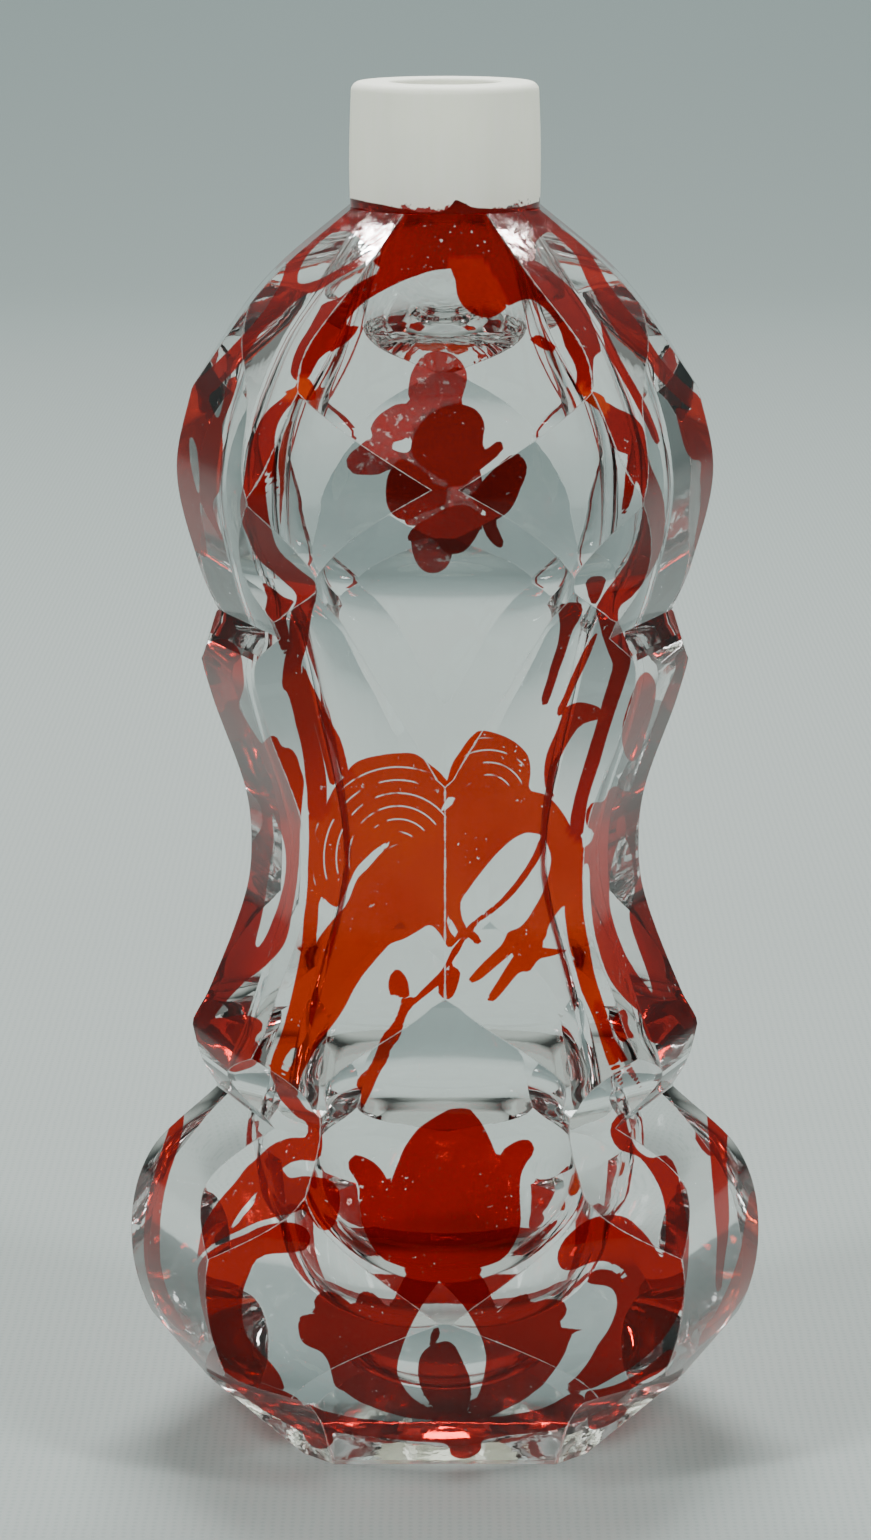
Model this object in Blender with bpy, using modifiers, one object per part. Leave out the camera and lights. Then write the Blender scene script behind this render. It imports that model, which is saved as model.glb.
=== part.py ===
"""Cut glass perfume bottle.

One solid of thick glass: a gourd of two lobes, cut all over by a wheel into
staggered lozenge facets, with a ground neck and an open hollow inside.
The front of the bottle faces -Y and its underside lies on Z = 0.
"""
import math

import bmesh
import bpy

MM = 0.001

# Driving dimensions
BODY_HEIGHT = 82.0 * MM
BODY_WIDTH = 42.4 * MM
NECK_HEIGHT = 8.0 * MM
NECK_DIAMETER = 12.1 * MM
NECK_SWELL = 0.12 * MM
LIP_ROUNDING = 0.6 * MM
BORE_DIAMETER = 7.0 * MM
WALL = 6.6 * MM
FLOOR = 8.0 * MM

# How finely the curves are stepped
ROW_PITCH = 1.1 * MM
HOLLOW_PITCH = 2.0 * MM
TURN_STEPS = 40
LIP_STEPS = 5
NECK_STEPS = 6
FLOOR_STEPS = 8

# Corners and rows that lie closer than this are one
SAME_PLACE = 0.04 * MM

# Faces that meet at more than this angle keep a sharp edge
SHARP_ANGLE = math.radians(12)

# The wheel cuts, drawn in millimetres as (height, reach from the axis).
# A cut is a list of smooth runs, from the shoulder down to the foot, and
# two runs meet in a corner. Where one cut stands clear of its neighbours,
# it leaves no mark, and its run there only keeps it out of their way.
FRONT_CUT = [
    [(82.0, 6.1), (77.7, 9.0), (71.5, 12.3), (66.0, 16.9)],
    [(66.0, 16.9), (59.7, 13.3), (54.3, 12.8), (47.0, 13.5)],
    [(47.0, 13.5), (39.3, 16.2), (32.2, 13.8)],
    [(32.2, 13.8), (24.7, 12.7), (19.4, 15.6), (13.1, 20.0)],
    [(13.1, 20.0), (6.1, 15.1), (0.0, 9.9)],
]
CORNER_CUT = [
    [(82.0, 6.2), (74.8, 13.2), (71.5, 15.2), (64.5, 17.5)],
    [(64.5, 17.5), (59.6, 15.1), (56.9, 15.3)],
    [(56.9, 15.3), (52.3, 17.5), (39.3, 18.7), (29.2, 17.0)],
    [(29.2, 17.0), (24.5, 14.7), (19.4, 17.5), (15.4, 20.5)],
    [(15.4, 20.5), (10.6, 21.5), (7.3, 19.6), (6.1, 17.0), (0.0, 12.2)],
]
SIDE_CUT = [
    [(82.0, 6.1), (78.4, 10.4), (75.6, 12.9), (70.4, 16.4)],
    [(70.4, 16.4), (63.2, 19.8), (57.8, 18.0), (55.6, 15.0)],
    [(55.6, 15.0), (52.7, 15.9)],
    [(52.7, 15.9), (46.4, 18.6), (32.2, 19.3), (27.5, 16.9)],
    [(27.5, 16.9), (23.2, 15.2)],
    [(23.2, 15.2), (21.2, 19.4), (14.7, 23.0), (7.9, 20.9)],
    [(7.9, 20.9), (5.3, 16.3), (2.1, 12.1), (0.0, 9.4)],
]
FRONT_BELT_CUT = [
    [(82.0, 8.6), (75.1, 13.5), (71.1, 15.0), (65.0, 16.0), (59.4, 15.4)],
    [(59.4, 15.4), (56.5, 14.2), (49.7, 13.0), (40.1, 12.2), (32.6, 13.0), (27.1, 14.6), (25.0, 14.6)],
    [(25.0, 14.6), (19.0, 17.9), (13.6, 18.6), (7.6, 18.5), (0.0, 14.1)],
]
SIDE_BELT_CUT = [
    [(82.0, 8.6), (74.8, 14.1), (70.4, 15.2), (64.8, 16.2), (58.5, 14.9), (55.6, 13.8)],
    [(55.6, 13.8), (53.7, 14.9), (50.2, 14.3), (43.5, 12.2), (39.3, 11.9), (36.0, 12.4),
     (29.8, 14.6), (27.5, 15.7), (25.7, 15.8), (23.2, 14.1)],
    [(23.2, 14.1), (18.7, 18.3), (13.0, 19.6), (7.3, 18.4), (0.0, 13.6)],
]

# The cuts in their order round the bottle, from its side, through the front
# and on to the other side: each is turned by the same angle from the last
CUTS = [SIDE_CUT, SIDE_BELT_CUT, CORNER_CUT, FRONT_BELT_CUT, FRONT_CUT, FRONT_BELT_CUT, CORNER_CUT, SIDE_BELT_CUT]
FACETS = 2 * len(CUTS)
FACET_TURN = 2 * math.pi / FACETS

# Heights on the drawing where the hollow takes its width from the wall
UPPER_BULB_AT = 65.0
WAIST_AT = 40.0
LOWER_BULB_AT = 18.0

DRAWN_HEIGHT = FRONT_CUT[0][0][0]


def smooth_run(stations, pitch):
    """Points on a smooth curve through the stations, about one pitch apart."""
    slopes = []
    for i in range(len(stations)):
        before = stations[max(i - 1, 0)]
        after = stations[min(i + 1, len(stations) - 1)]
        slopes.append((after[1] - before[1]) / (after[0] - before[0]))
    points = [stations[0]]
    for (start, end, slope_in, slope_out) in zip(stations, stations[1:], slopes, slopes[1:]):
        span = end[0] - start[0]
        steps = max(1, round(abs(span) / pitch))
        for k in range(1, steps + 1):
            t = k / steps
            rise = (3 - 2 * t) * t * t
            height = start[0] + t * span
            reach = start[1] + rise * (end[1] - start[1])
            reach += span * t * (1 - t) * ((1 - t) * slope_in - t * slope_out)
            points.append((height, reach))
    return points


def drawn(cut):
    """The whole cut from foot to shoulder, as points in drawing millimetres."""
    points = []
    for run in cut:
        run_points = smooth_run(run, ROW_PITCH / MM)
        points += run_points if not points else run_points[1:]
    return points[::-1]


DRAWN_CUTS = [drawn(cut) for cut in CUTS]


def reach_at(points, height):
    """Reach of a drawn cut at a height on the drawing."""
    for (low, low_reach), (high, high_reach) in zip(points, points[1:]):
        if height <= high:
            share = (height - low) / (high - low)
            return low_reach + share * (high_reach - low_reach)
    return points[-1][1]


def reaches_at(height):
    """Reach of every facet round the bottle at a height on the drawing."""
    half = [reach_at(points, height) for points in DRAWN_CUTS]
    return half + half


def facet_ends(facet, reaches):
    """Where the neighbouring facets cut one off, measured along it from its middle."""
    start, end = -math.inf, math.inf
    for away in range(1, FACETS // 2):
        turn = away * FACET_TURN
        ahead = reaches[(facet + away) % FACETS]
        behind = reaches[(facet - away) % FACETS]
        end = min(end, (ahead - reaches[facet] * math.cos(turn)) / math.sin(turn))
        start = max(start, (reaches[facet] * math.cos(turn) - behind) / math.sin(turn))
    return start, end


def facet_width(facet, height):
    start, end = facet_ends(facet, reaches_at(height))
    return end - start


def section(height):
    """Corners of the section at a height, one after each facet. A facet that
    is cut away there shares the corner of the last one that shows."""
    reaches = reaches_at(height)
    corners = []
    for facet in range(FACETS):
        start, end = facet_ends(facet, reaches)
        if end > start:
            turn = facet * FACET_TURN
            out = reaches[facet]
            corners.append((out * math.cos(turn) - end * math.sin(turn), out * math.sin(turn) + end * math.cos(turn)))
        else:
            corners.append(None)
    for facet in range(2 * FACETS):
        if corners[facet % FACETS] is None:
            corners[facet % FACETS] = corners[(facet - 1) % FACETS]
    return corners


def vanishing_heights(facet):
    """Heights at which a facet comes to a point."""
    heights = []
    count = round(DRAWN_HEIGHT * MM / ROW_PITCH) * 2
    levels = [DRAWN_HEIGHT * k / count for k in range(count + 1)]
    for low, high in zip(levels, levels[1:]):
        if (facet_width(facet, low) > 0) == (facet_width(facet, high) > 0):
            continue
        for _ in range(20):
            middle = (low + high) / 2
            if (facet_width(facet, low) > 0) == (facet_width(facet, middle) > 0):
                low = middle
            else:
                high = middle
        heights.append((low + high) / 2)
    return heights


def row_heights():
    """Heights of the rows of corners: every corner of a cut, every point of a
    facet, and even steps between them."""
    marks = {run[0][0] for cut in CUTS for run in cut}
    for facet in range(len(CUTS) // 2 + 1):
        marks.update(vanishing_heights(facet))
    kept = [0.0]
    for mark in sorted(marks):
        if mark - kept[-1] > 4 * SAME_PLACE / MM:
            kept.append(mark)
    rows = []
    for low, high in zip(kept, kept[1:]):
        steps = max(1, round((high - low) * MM / ROW_PITCH))
        rows += [low + (high - low) * k / steps for k in range(steps)]
    return rows + [kept[-1]]


def narrowest_at(height):
    """Half the thickness of the bottle, where it is thinnest, at a height on the drawing."""
    return min(reaches_at(height))


def widest_corner():
    """Half the width over the side edges, at its widest on the drawing."""
    return max(x for height in row_heights() for x, y in section(height))


RISE = BODY_HEIGHT / DRAWN_HEIGHT
SPREAD = BODY_WIDTH / 2 / widest_corner()


def cut_body(collection):
    """The body, lofted through its sections from foot to shoulder."""
    shape = bmesh.new()
    rings = []
    for height in row_heights():
        ring = [shape.verts.new((x * SPREAD, y * SPREAD, height * RISE)) for x, y in section(height)]
        rings.append(ring)
    for lower, upper in zip(rings, rings[1:]):
        for facet in range(FACETS):
            last = facet - 1
            shape.faces.new((lower[last], lower[facet], upper[facet], upper[last]))
    shape.faces.new(rings[0][::-1])
    shape.faces.new(rings[-1])
    bmesh.ops.remove_doubles(shape, verts=shape.verts, dist=SAME_PLACE)
    bmesh.ops.recalc_face_normals(shape, faces=shape.faces)
    mesh = bpy.data.meshes.new("glass_bottle")
    shape.to_mesh(mesh)
    shape.free()
    mesh.shade_smooth()
    mesh.set_sharp_from_angle(angle=SHARP_ANGLE)
    return link(bpy.data.objects.new("glass_bottle", mesh), collection)


def link(obj, collection):
    collection.objects.link(obj)
    return obj


def boolean(target, other, operation):
    modifier = target.modifiers.new(other.name, "BOOLEAN")
    modifier.object = other
    modifier.operation = operation
    modifier.solver = "EXACT"


def turned(name, profile, collection):
    """A cutter turned about Z, from a profile that runs top to bottom at +X."""
    mesh = bpy.data.meshes.new(name)
    shape = bmesh.new()
    verts = [shape.verts.new((radius, 0, height)) for height, radius in profile]
    for start, end in zip(verts, verts[1:]):
        shape.edges.new((start, end))
    shape.to_mesh(mesh)
    shape.free()
    mesh.shade_smooth()
    obj = link(bpy.data.objects.new(name, mesh), collection)
    screw = obj.modifiers.new("turn", "SCREW")
    screw.axis = "Z"
    screw.steps = TURN_STEPS
    screw.render_steps = TURN_STEPS
    screw.use_merge_vertices = True
    screw.use_smooth_shade = True
    screw.merge_threshold = 0.00001
    obj.hide_render = True
    obj.display_type = "WIRE"
    return obj


def neck_profile():
    """The ground neck: a rounded lip, and a side that swells a little at its middle."""
    radius = NECK_DIAMETER / 2
    top = BODY_HEIGHT + NECK_HEIGHT
    sunk = BODY_HEIGHT - NECK_HEIGHT / 4
    profile = [(top, 0)]
    for k in range(LIP_STEPS + 1):
        turn = math.radians(90) * k / LIP_STEPS
        inset = LIP_ROUNDING * (1 - math.sin(turn))
        profile.append((top - LIP_ROUNDING * (1 - math.cos(turn)), radius - inset))
    side_top = top - LIP_ROUNDING
    for k in range(1, NECK_STEPS + 1):
        t = k / NECK_STEPS
        height = side_top + t * (sunk - side_top)
        profile.append((height, radius + NECK_SWELL * math.sin(math.pi * t)))
    profile.append((sunk, 0))
    return profile


def hollow_profile():
    """The blown hollow: two bulbs and a waist that follow the body, under a straight bore."""
    bore = BORE_DIAMETER / 2
    top = BODY_HEIGHT + NECK_HEIGHT

    def hollow_radius(height):
        return max(narrowest_at(height) * SPREAD - WALL, bore)

    upper = hollow_radius(UPPER_BULB_AT)
    lower = hollow_radius(LOWER_BULB_AT)
    side = [
        (BODY_HEIGHT, bore),
        (0.5 * (BODY_HEIGHT + UPPER_BULB_AT * RISE), 0.5 * (bore + upper)),
        (UPPER_BULB_AT * RISE, upper),
        (0.5 * (UPPER_BULB_AT + WAIST_AT) * RISE, 0.5 * (upper + hollow_radius(WAIST_AT))),
        (WAIST_AT * RISE, hollow_radius(WAIST_AT)),
        (0.5 * (WAIST_AT + LOWER_BULB_AT) * RISE, 0.5 * (lower + hollow_radius(WAIST_AT))),
        (LOWER_BULB_AT * RISE, lower),
    ]
    profile = [(top + LIP_ROUNDING, 0), (top + LIP_ROUNDING, bore)]
    profile += smooth_run(side, HOLLOW_PITCH)
    rise = LOWER_BULB_AT * RISE - FLOOR
    for k in range(1, FLOOR_STEPS):
        turn = math.radians(90) * k / FLOOR_STEPS
        profile.append((FLOOR + rise * (1 - math.sin(turn)), lower * math.cos(turn)))
    profile.append((FLOOR, 0))
    return profile


def clear_glass():
    material = bpy.data.materials.new("clear_glass")
    material.use_nodes = True
    shader = material.node_tree.nodes["Principled BSDF"]
    shader.inputs["Base Color"].default_value = (0.86, 0.90, 0.88, 1)
    shader.inputs["Roughness"].default_value = 0.03
    shader.inputs["Metallic"].default_value = 0
    shader.inputs["IOR"].default_value = 1.52
    shader.inputs["Transmission Weight"].default_value = 1
    return material


def bottle(parts, cutters):
    glass = cut_body(parts)
    neck = turned("neck_blank", neck_profile(), cutters)
    hollow = turned("hollow", hollow_profile(), cutters)
    boolean(glass, neck, "UNION")
    boolean(glass, hollow, "DIFFERENCE")
    glass.data.materials.append(clear_glass())
    return glass


for old in list(bpy.data.objects):
    bpy.data.objects.remove(old)

parts = bpy.data.collections.new("cut_glass_perfume_bottle")
cutters = bpy.data.collections.new("cutters")
for collection in (parts, cutters):
    bpy.context.scene.collection.children.link(collection)

bottle(parts, cutters)
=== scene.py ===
# %% [markdown]
# A cut glass scent bottle, about 90 mm tall. It is clear glass, blown hollow,
# ground all over into staggered facets, and stained ruby on its surface. The
# stain was then engraved away round a flower, a bird, a tulip and scrolls.
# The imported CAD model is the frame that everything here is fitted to.

# %% Load the frame
import math

import bmesh
import bpy
import numpy as np
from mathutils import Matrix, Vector


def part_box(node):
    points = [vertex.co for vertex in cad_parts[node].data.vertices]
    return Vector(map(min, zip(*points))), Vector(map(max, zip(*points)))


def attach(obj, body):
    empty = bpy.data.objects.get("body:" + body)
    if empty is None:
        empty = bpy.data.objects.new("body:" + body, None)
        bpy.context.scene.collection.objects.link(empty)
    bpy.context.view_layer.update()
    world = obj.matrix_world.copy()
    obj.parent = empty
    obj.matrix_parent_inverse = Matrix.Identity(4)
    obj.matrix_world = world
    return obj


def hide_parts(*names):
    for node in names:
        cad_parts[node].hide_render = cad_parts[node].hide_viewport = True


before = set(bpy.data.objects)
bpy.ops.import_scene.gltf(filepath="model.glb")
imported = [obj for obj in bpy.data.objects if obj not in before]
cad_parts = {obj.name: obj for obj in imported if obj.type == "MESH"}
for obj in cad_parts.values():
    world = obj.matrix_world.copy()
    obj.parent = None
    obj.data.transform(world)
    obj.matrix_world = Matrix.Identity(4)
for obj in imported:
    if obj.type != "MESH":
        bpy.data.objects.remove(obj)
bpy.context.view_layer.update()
glass_low, glass_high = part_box("glass_bottle")
MM = 0.001
print("glass", [round(v / MM, 2) for v in glass_high - glass_low], "mm")

# %% [markdown]
# The camera stands where the photographer's did: a little above the bottle,
# looking down on it by about twelve degrees, from 300 mm away. A long lens
# keeps the upright lines nearly parallel. The bottle stands slightly right of
# the picture's middle, which a small shift of the lens gives without turning
# the camera.

# %% Camera
PHOTO_WIDTH = 871
PHOTO_HEIGHT = 1540
FOCAL_PIXELS = 4631.56
AXIS_PIXEL = 445.0
CAMERA_BACK = 300.0 * MM
CAMERA_UP = 108.0 * MM
CAMERA_DOWN = math.radians(11.895)

camera_data = bpy.data.cameras.new("camera")
camera_data.sensor_fit = "AUTO"
camera_data.sensor_width = 36
camera_data.lens = FOCAL_PIXELS / PHOTO_HEIGHT * camera_data.sensor_width
camera_data.shift_x = (PHOTO_WIDTH / 2 - AXIS_PIXEL) / PHOTO_HEIGHT
camera_data.clip_start = 10 * MM
camera = bpy.data.objects.new("camera", camera_data)
camera.location = (0, -CAMERA_BACK, CAMERA_UP)
camera.rotation_euler = (math.pi / 2 - CAMERA_DOWN, 0, 0)
bpy.context.scene.collection.objects.link(camera)
bpy.context.scene.camera = camera


def photo_place(x, y, z):
    """Where points of the object fall in the photograph's frame."""
    ahead = CAMERA_BACK + y
    below = CAMERA_UP - z
    depth = ahead * math.cos(CAMERA_DOWN) + below * math.sin(CAMERA_DOWN)
    up = ahead * math.sin(CAMERA_DOWN) - below * math.cos(CAMERA_DOWN)
    return AXIS_PIXEL + FOCAL_PIXELS * x / depth, PHOTO_HEIGHT / 2 - FOCAL_PIXELS * up / depth


PIXELS_PER_MM = FOCAL_PIXELS * MM / CAMERA_BACK
print("camera", tuple(round(v, 3) for v in camera.location), round(PIXELS_PER_MM, 2), "pixels to a millimetre")

# %% [markdown]
# The bottle is the loft of its cross-sections. Each facet is one cut of a
# wheel, drawn as its reach from the axis at each height, in millimetres. At
# any height the section is what the cuts leave: each facet runs until a
# neighbour cuts it off. The same drawing made the CAD solid. Here the loft is
# much finer, so that the stain's edges have vertices to hold on to.

# %% The wheel's cuts
FRONT_CUT = [
    [(82.0, 6.1), (77.7, 9.0), (71.5, 12.3), (66.0, 16.9)],
    [(66.0, 16.9), (59.7, 13.3), (54.3, 12.8), (47.0, 13.5)],
    [(47.0, 13.5), (39.3, 16.2), (32.2, 13.8)],
    [(32.2, 13.8), (24.7, 12.7), (19.4, 15.6), (13.1, 20.0)],
    [(13.1, 20.0), (6.1, 15.1), (0.0, 9.9)],
]
CORNER_CUT = [
    [(82.0, 6.2), (74.8, 13.2), (71.5, 15.2), (64.5, 17.5)],
    [(64.5, 17.5), (59.6, 15.1), (56.9, 15.3)],
    [(56.9, 15.3), (52.3, 17.5), (39.3, 18.7), (29.2, 17.0)],
    [(29.2, 17.0), (24.5, 14.7), (19.4, 17.5), (15.4, 20.5)],
    [(15.4, 20.5), (10.6, 21.5), (7.3, 19.6), (6.1, 17.0), (0.0, 12.2)],
]
SIDE_CUT = [
    [(82.0, 6.1), (78.4, 10.4), (75.6, 12.9), (70.4, 16.4)],
    [(70.4, 16.4), (63.2, 19.8), (57.8, 18.0), (55.6, 15.0)],
    [(55.6, 15.0), (52.7, 15.9)],
    [(52.7, 15.9), (46.4, 18.6), (32.2, 19.3), (27.5, 16.9)],
    [(27.5, 16.9), (23.2, 15.2)],
    [(23.2, 15.2), (21.2, 19.4), (14.7, 23.0), (7.9, 20.9)],
    [(7.9, 20.9), (5.3, 16.3), (2.1, 12.1), (0.0, 9.4)],
]
FRONT_BELT_CUT = [
    [(82.0, 8.6), (75.1, 13.5), (71.1, 15.0), (65.0, 16.0), (59.4, 15.4)],
    [(59.4, 15.4), (56.5, 14.2), (49.7, 13.0), (40.1, 12.2), (32.6, 13.0), (27.1, 14.6), (25.0, 14.6)],
    [(25.0, 14.6), (19.0, 17.9), (13.6, 18.6), (7.6, 18.5), (0.0, 14.1)],
]
SIDE_BELT_CUT = [
    [(82.0, 8.6), (74.8, 14.1), (70.4, 15.2), (64.8, 16.2), (58.5, 14.9), (55.6, 13.8)],
    [(55.6, 13.8), (53.7, 14.9), (50.2, 14.3), (43.5, 12.2), (39.3, 11.9), (36.0, 12.4),
     (29.8, 14.6), (27.5, 15.7), (25.7, 15.8), (23.2, 14.1)],
    [(23.2, 14.1), (18.7, 18.3), (13.0, 19.6), (7.3, 18.4), (0.0, 13.6)],
]
CUTS = [
    SIDE_CUT, SIDE_BELT_CUT, CORNER_CUT, FRONT_BELT_CUT,
    FRONT_CUT, FRONT_BELT_CUT, CORNER_CUT, SIDE_BELT_CUT,
]
FACETS = 2 * len(CUTS)
FACET_TURN = 2 * math.pi / FACETS
SHOULDER = FRONT_CUT[0][0][0]
CURVE_PITCH = 1.1


def smooth_run(stations, pitch):
    """Points on a smooth curve through the stations, about one pitch apart."""
    slopes = []
    for i in range(len(stations)):
        before = stations[max(i - 1, 0)]
        after = stations[min(i + 1, len(stations) - 1)]
        slopes.append((after[1] - before[1]) / (after[0] - before[0]))
    points = [stations[0]]
    for (start, end, slope_in, slope_out) in zip(stations, stations[1:], slopes, slopes[1:]):
        span = end[0] - start[0]
        steps = max(1, round(abs(span) / pitch))
        for k in range(1, steps + 1):
            t = k / steps
            rise = (3 - 2 * t) * t * t
            reach = start[1] + rise * (end[1] - start[1])
            reach += span * t * (1 - t) * ((1 - t) * slope_in - t * slope_out)
            points.append((start[0] + t * span, reach))
    return points


def drawn(cut, pitch):
    """A whole cut from foot to shoulder, as an array of (height, reach)."""
    points = []
    for run in cut:
        run_points = smooth_run(run, pitch)
        points += run_points if not points else run_points[1:]
    return np.array(points[::-1])


# %% [markdown]
# A section needs, for each facet, where along it the neighbours cut it off.
# Worked out for all heights at once with arrays, it is quick enough to ask
# for at a few thousand heights, which also finds the heights where a facet
# comes to a point.

# %% Sections
CUT_LINES = [drawn(cut, CURVE_PITCH / 4) for cut in CUTS]
FAR_ALONG = 1e3


def facet_spans(heights):
    """Reach, start and end of every facet at each height, in drawing millimetres."""
    half = np.stack([np.interp(heights, line[:, 0], line[:, 1]) for line in CUT_LINES], axis=1)
    reaches = np.concatenate([half, half], axis=1)
    starts = np.full(reaches.shape, -FAR_ALONG)
    ends = np.full(reaches.shape, FAR_ALONG)
    for away in range(1, FACETS // 2):
        turn = away * FACET_TURN
        ahead = np.roll(reaches, -away, axis=1)
        behind = np.roll(reaches, away, axis=1)
        ends = np.minimum(ends, (ahead - reaches * math.cos(turn)) / math.sin(turn))
        starts = np.maximum(starts, (reaches * math.cos(turn) - behind) / math.sin(turn))
    return reaches, starts, ends


TURNS = np.arange(FACETS) * FACET_TURN
FINE_PITCH = 0.02
fine_heights = np.arange(0, SHOULDER + FINE_PITCH / 2, FINE_PITCH)
reaches, starts, ends = facet_spans(fine_heights)
shows = ends > starts
widest = np.where(shows, ends - starts, 0).max(axis=0)
corner_x = reaches * np.cos(TURNS) - ends * np.sin(TURNS)
SPREAD = glass_high.x / np.where(shows, corner_x, 0).max()
print("facets at their widest, mm:", widest.round(1)[:FACETS // 2 + 1], "spread", round(SPREAD / MM, 4))

# %% [markdown]
# The loft is a grid of rows and columns. Rows are even steps of height, with
# an extra row at each corner of a cut and wherever a facet vanishes. Each
# facet owns a block of columns, more of them on the front, where the picture
# is. A facet that is cut away at some height has its columns closed up in one
# corner, and merging the doubles removes them.

# %% Rows and columns
ROW_PITCH = 0.38
FRONT_COLUMN_PITCH = 0.38
SIDE_COLUMN_PITCH = 0.6
BACK_COLUMN_PITCH = 0.85
NEAR_ROW = 0.15

marks = {run[0][0] for cut in CUTS for run in cut}
flips = np.argwhere(shows[1:] != shows[:-1])
marks.update(float(fine_heights[row]) for row, facet in flips)
kept = [0.0]
for mark in sorted(marks):
    if mark - kept[-1] > NEAR_ROW:
        kept.append(mark)
kept[-1] = SHOULDER
rows = []
for low, high in zip(kept, kept[1:]):
    steps = max(1, round((high - low) / ROW_PITCH))
    rows += [low + (high - low) * k / steps for k in range(steps)]
rows = np.array(rows + [SHOULDER])

FRONT_FACET = 3 * FACETS // 4
FRONT_REACH = 3
LEAST_COLUMNS = 4
columns = []
for facet in range(FACETS):
    away = abs(facet - FRONT_FACET)
    away = min(away, FACETS - away)
    if away <= FRONT_REACH:
        pitch = FRONT_COLUMN_PITCH
    elif away == FRONT_REACH + 1:
        pitch = SIDE_COLUMN_PITCH
    else:
        pitch = BACK_COLUMN_PITCH
    columns.append(max(LEAST_COLUMNS, math.ceil(widest[facet] / pitch)))
print(len(rows), "rows and", sum(columns), "columns")

# %% Places of the body's grid
reaches, starts, ends = facet_spans(rows)
shows = ends > starts


def body_places():
    """x, y and the distance to the nearest ridge for each row and column, in drawing millimetres."""
    count = len(rows)
    corner = np.zeros((count, FACETS, 2))
    corner[:, :, 0] = reaches * np.cos(TURNS) - ends * np.sin(TURNS)
    corner[:, :, 1] = reaches * np.sin(TURNS) + ends * np.cos(TURNS)
    for k in range(1, 2 * FACETS):
        facet, last = k % FACETS, (k - 1) % FACETS
        corner[:, facet] = np.where(shows[:, facet, None], corner[:, facet], corner[:, last])
    blocks_x, blocks_y, blocks_ridge, blocks_facet = [], [], [], []
    for facet in range(FACETS):
        share = np.arange(columns[facet]) / columns[facet]
        begin = corner[:, facet - 1]
        finish = corner[:, facet]
        wide = np.where(shows[:, facet], ends[:, facet] - starts[:, facet], 0)
        blocks_x.append(begin[:, 0, None] + share * (finish - begin)[:, 0, None])
        blocks_y.append(begin[:, 1, None] + share * (finish - begin)[:, 1, None])
        blocks_ridge.append(np.minimum(share, 1 - share) * wide[:, None])
        blocks_facet.append(np.full((count, len(share)), facet))
    return [np.concatenate(part, axis=1) for part in (blocks_x, blocks_y, blocks_ridge, blocks_facet)]


body_x, body_y, body_ridge, body_facet = body_places()

# %% [markdown]
# Above the shoulder the bottle is round: the ground neck, its rounded lip, the
# bore and the blown hollow with its two bulbs and a waist. Those rows use the
# same columns, each in the direction that its column has at the shoulder. The
# foot is flat, and closes in rings towards its middle.

# %% Neck, lip and hollow
NECK_HEIGHT = 8.0
NECK_RADIUS = 12.1 / 2
NECK_SWELL = 0.12
LIP_ROUNDING = 0.6
BORE_RADIUS = 7.0 / 2
BORE_ROUNDING = 0.25
WALL = 6.6
FLOOR = 8.0
UPPER_BULB_AT, WAIST_AT, LOWER_BULB_AT = 65.0, 40.0, 18.0
HOLLOW_PITCH = 1.0
NECK_ROWS, LIP_STEPS, BORE_EDGE_STEPS, BORE_ROWS, FLOOR_STEPS = 18, 8, 5, 8, 15
TOP = SHOULDER + NECK_HEIGHT


def narrowest(height):
    """The distance from the axis to the nearest facet at a height."""
    return float(facet_spans(np.array([height]))[0].min()) * SPREAD / MM


def hollow_radius(height):
    """The hollow keeps a wall of glass inside the nearest facet."""
    return max(narrowest(height) - WALL, BORE_RADIUS)


def round_rows():
    """(height, radius) from the shoulder up the neck, over the lip, and down the hollow to its floor."""
    side_top = TOP - LIP_ROUNDING
    sunk = SHOULDER - NECK_HEIGHT / 4
    line = []
    for height in np.linspace(SHOULDER, side_top, NECK_ROWS):
        swell = NECK_SWELL * math.sin(math.pi * (height - sunk) / (side_top - sunk))
        line.append((height, NECK_RADIUS + swell))
    for k in range(1, LIP_STEPS + 1):
        turn = math.radians(90) * k / LIP_STEPS
        inwards = LIP_ROUNDING * (1 - math.cos(turn))
        line.append((side_top + LIP_ROUNDING * math.sin(turn), NECK_RADIUS - inwards))
    line.append((TOP, (NECK_RADIUS + BORE_RADIUS) / 2))
    for k in range(BORE_EDGE_STEPS + 1):
        turn = math.radians(90) * k / BORE_EDGE_STEPS
        outwards = BORE_ROUNDING * (1 - math.sin(turn))
        line.append((TOP - BORE_ROUNDING * (1 - math.cos(turn)), BORE_RADIUS + outwards))
    for height in np.linspace(TOP - BORE_ROUNDING, SHOULDER, BORE_ROWS)[1:-1]:
        line.append((height, BORE_RADIUS))
    upper, waist, lower = hollow_radius(UPPER_BULB_AT), hollow_radius(WAIST_AT), hollow_radius(LOWER_BULB_AT)
    side = [
        (SHOULDER, BORE_RADIUS),
        ((SHOULDER + UPPER_BULB_AT) / 2, (BORE_RADIUS + upper) / 2),
        (UPPER_BULB_AT, upper),
        ((UPPER_BULB_AT + WAIST_AT) / 2, (upper + waist) / 2),
        (WAIST_AT, waist),
        ((WAIST_AT + LOWER_BULB_AT) / 2, (lower + waist) / 2),
        (LOWER_BULB_AT, lower),
    ]
    line += smooth_run(side, HOLLOW_PITCH)
    for k in range(1, FLOOR_STEPS + 1):
        turn = math.radians(90) * k / FLOOR_STEPS
        line.append((FLOOR + (LOWER_BULB_AT - FLOOR) * (1 - math.sin(turn)), lower * math.cos(turn)))
    line[-1] = (FLOOR, 0.0)
    return np.array(line)


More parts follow.
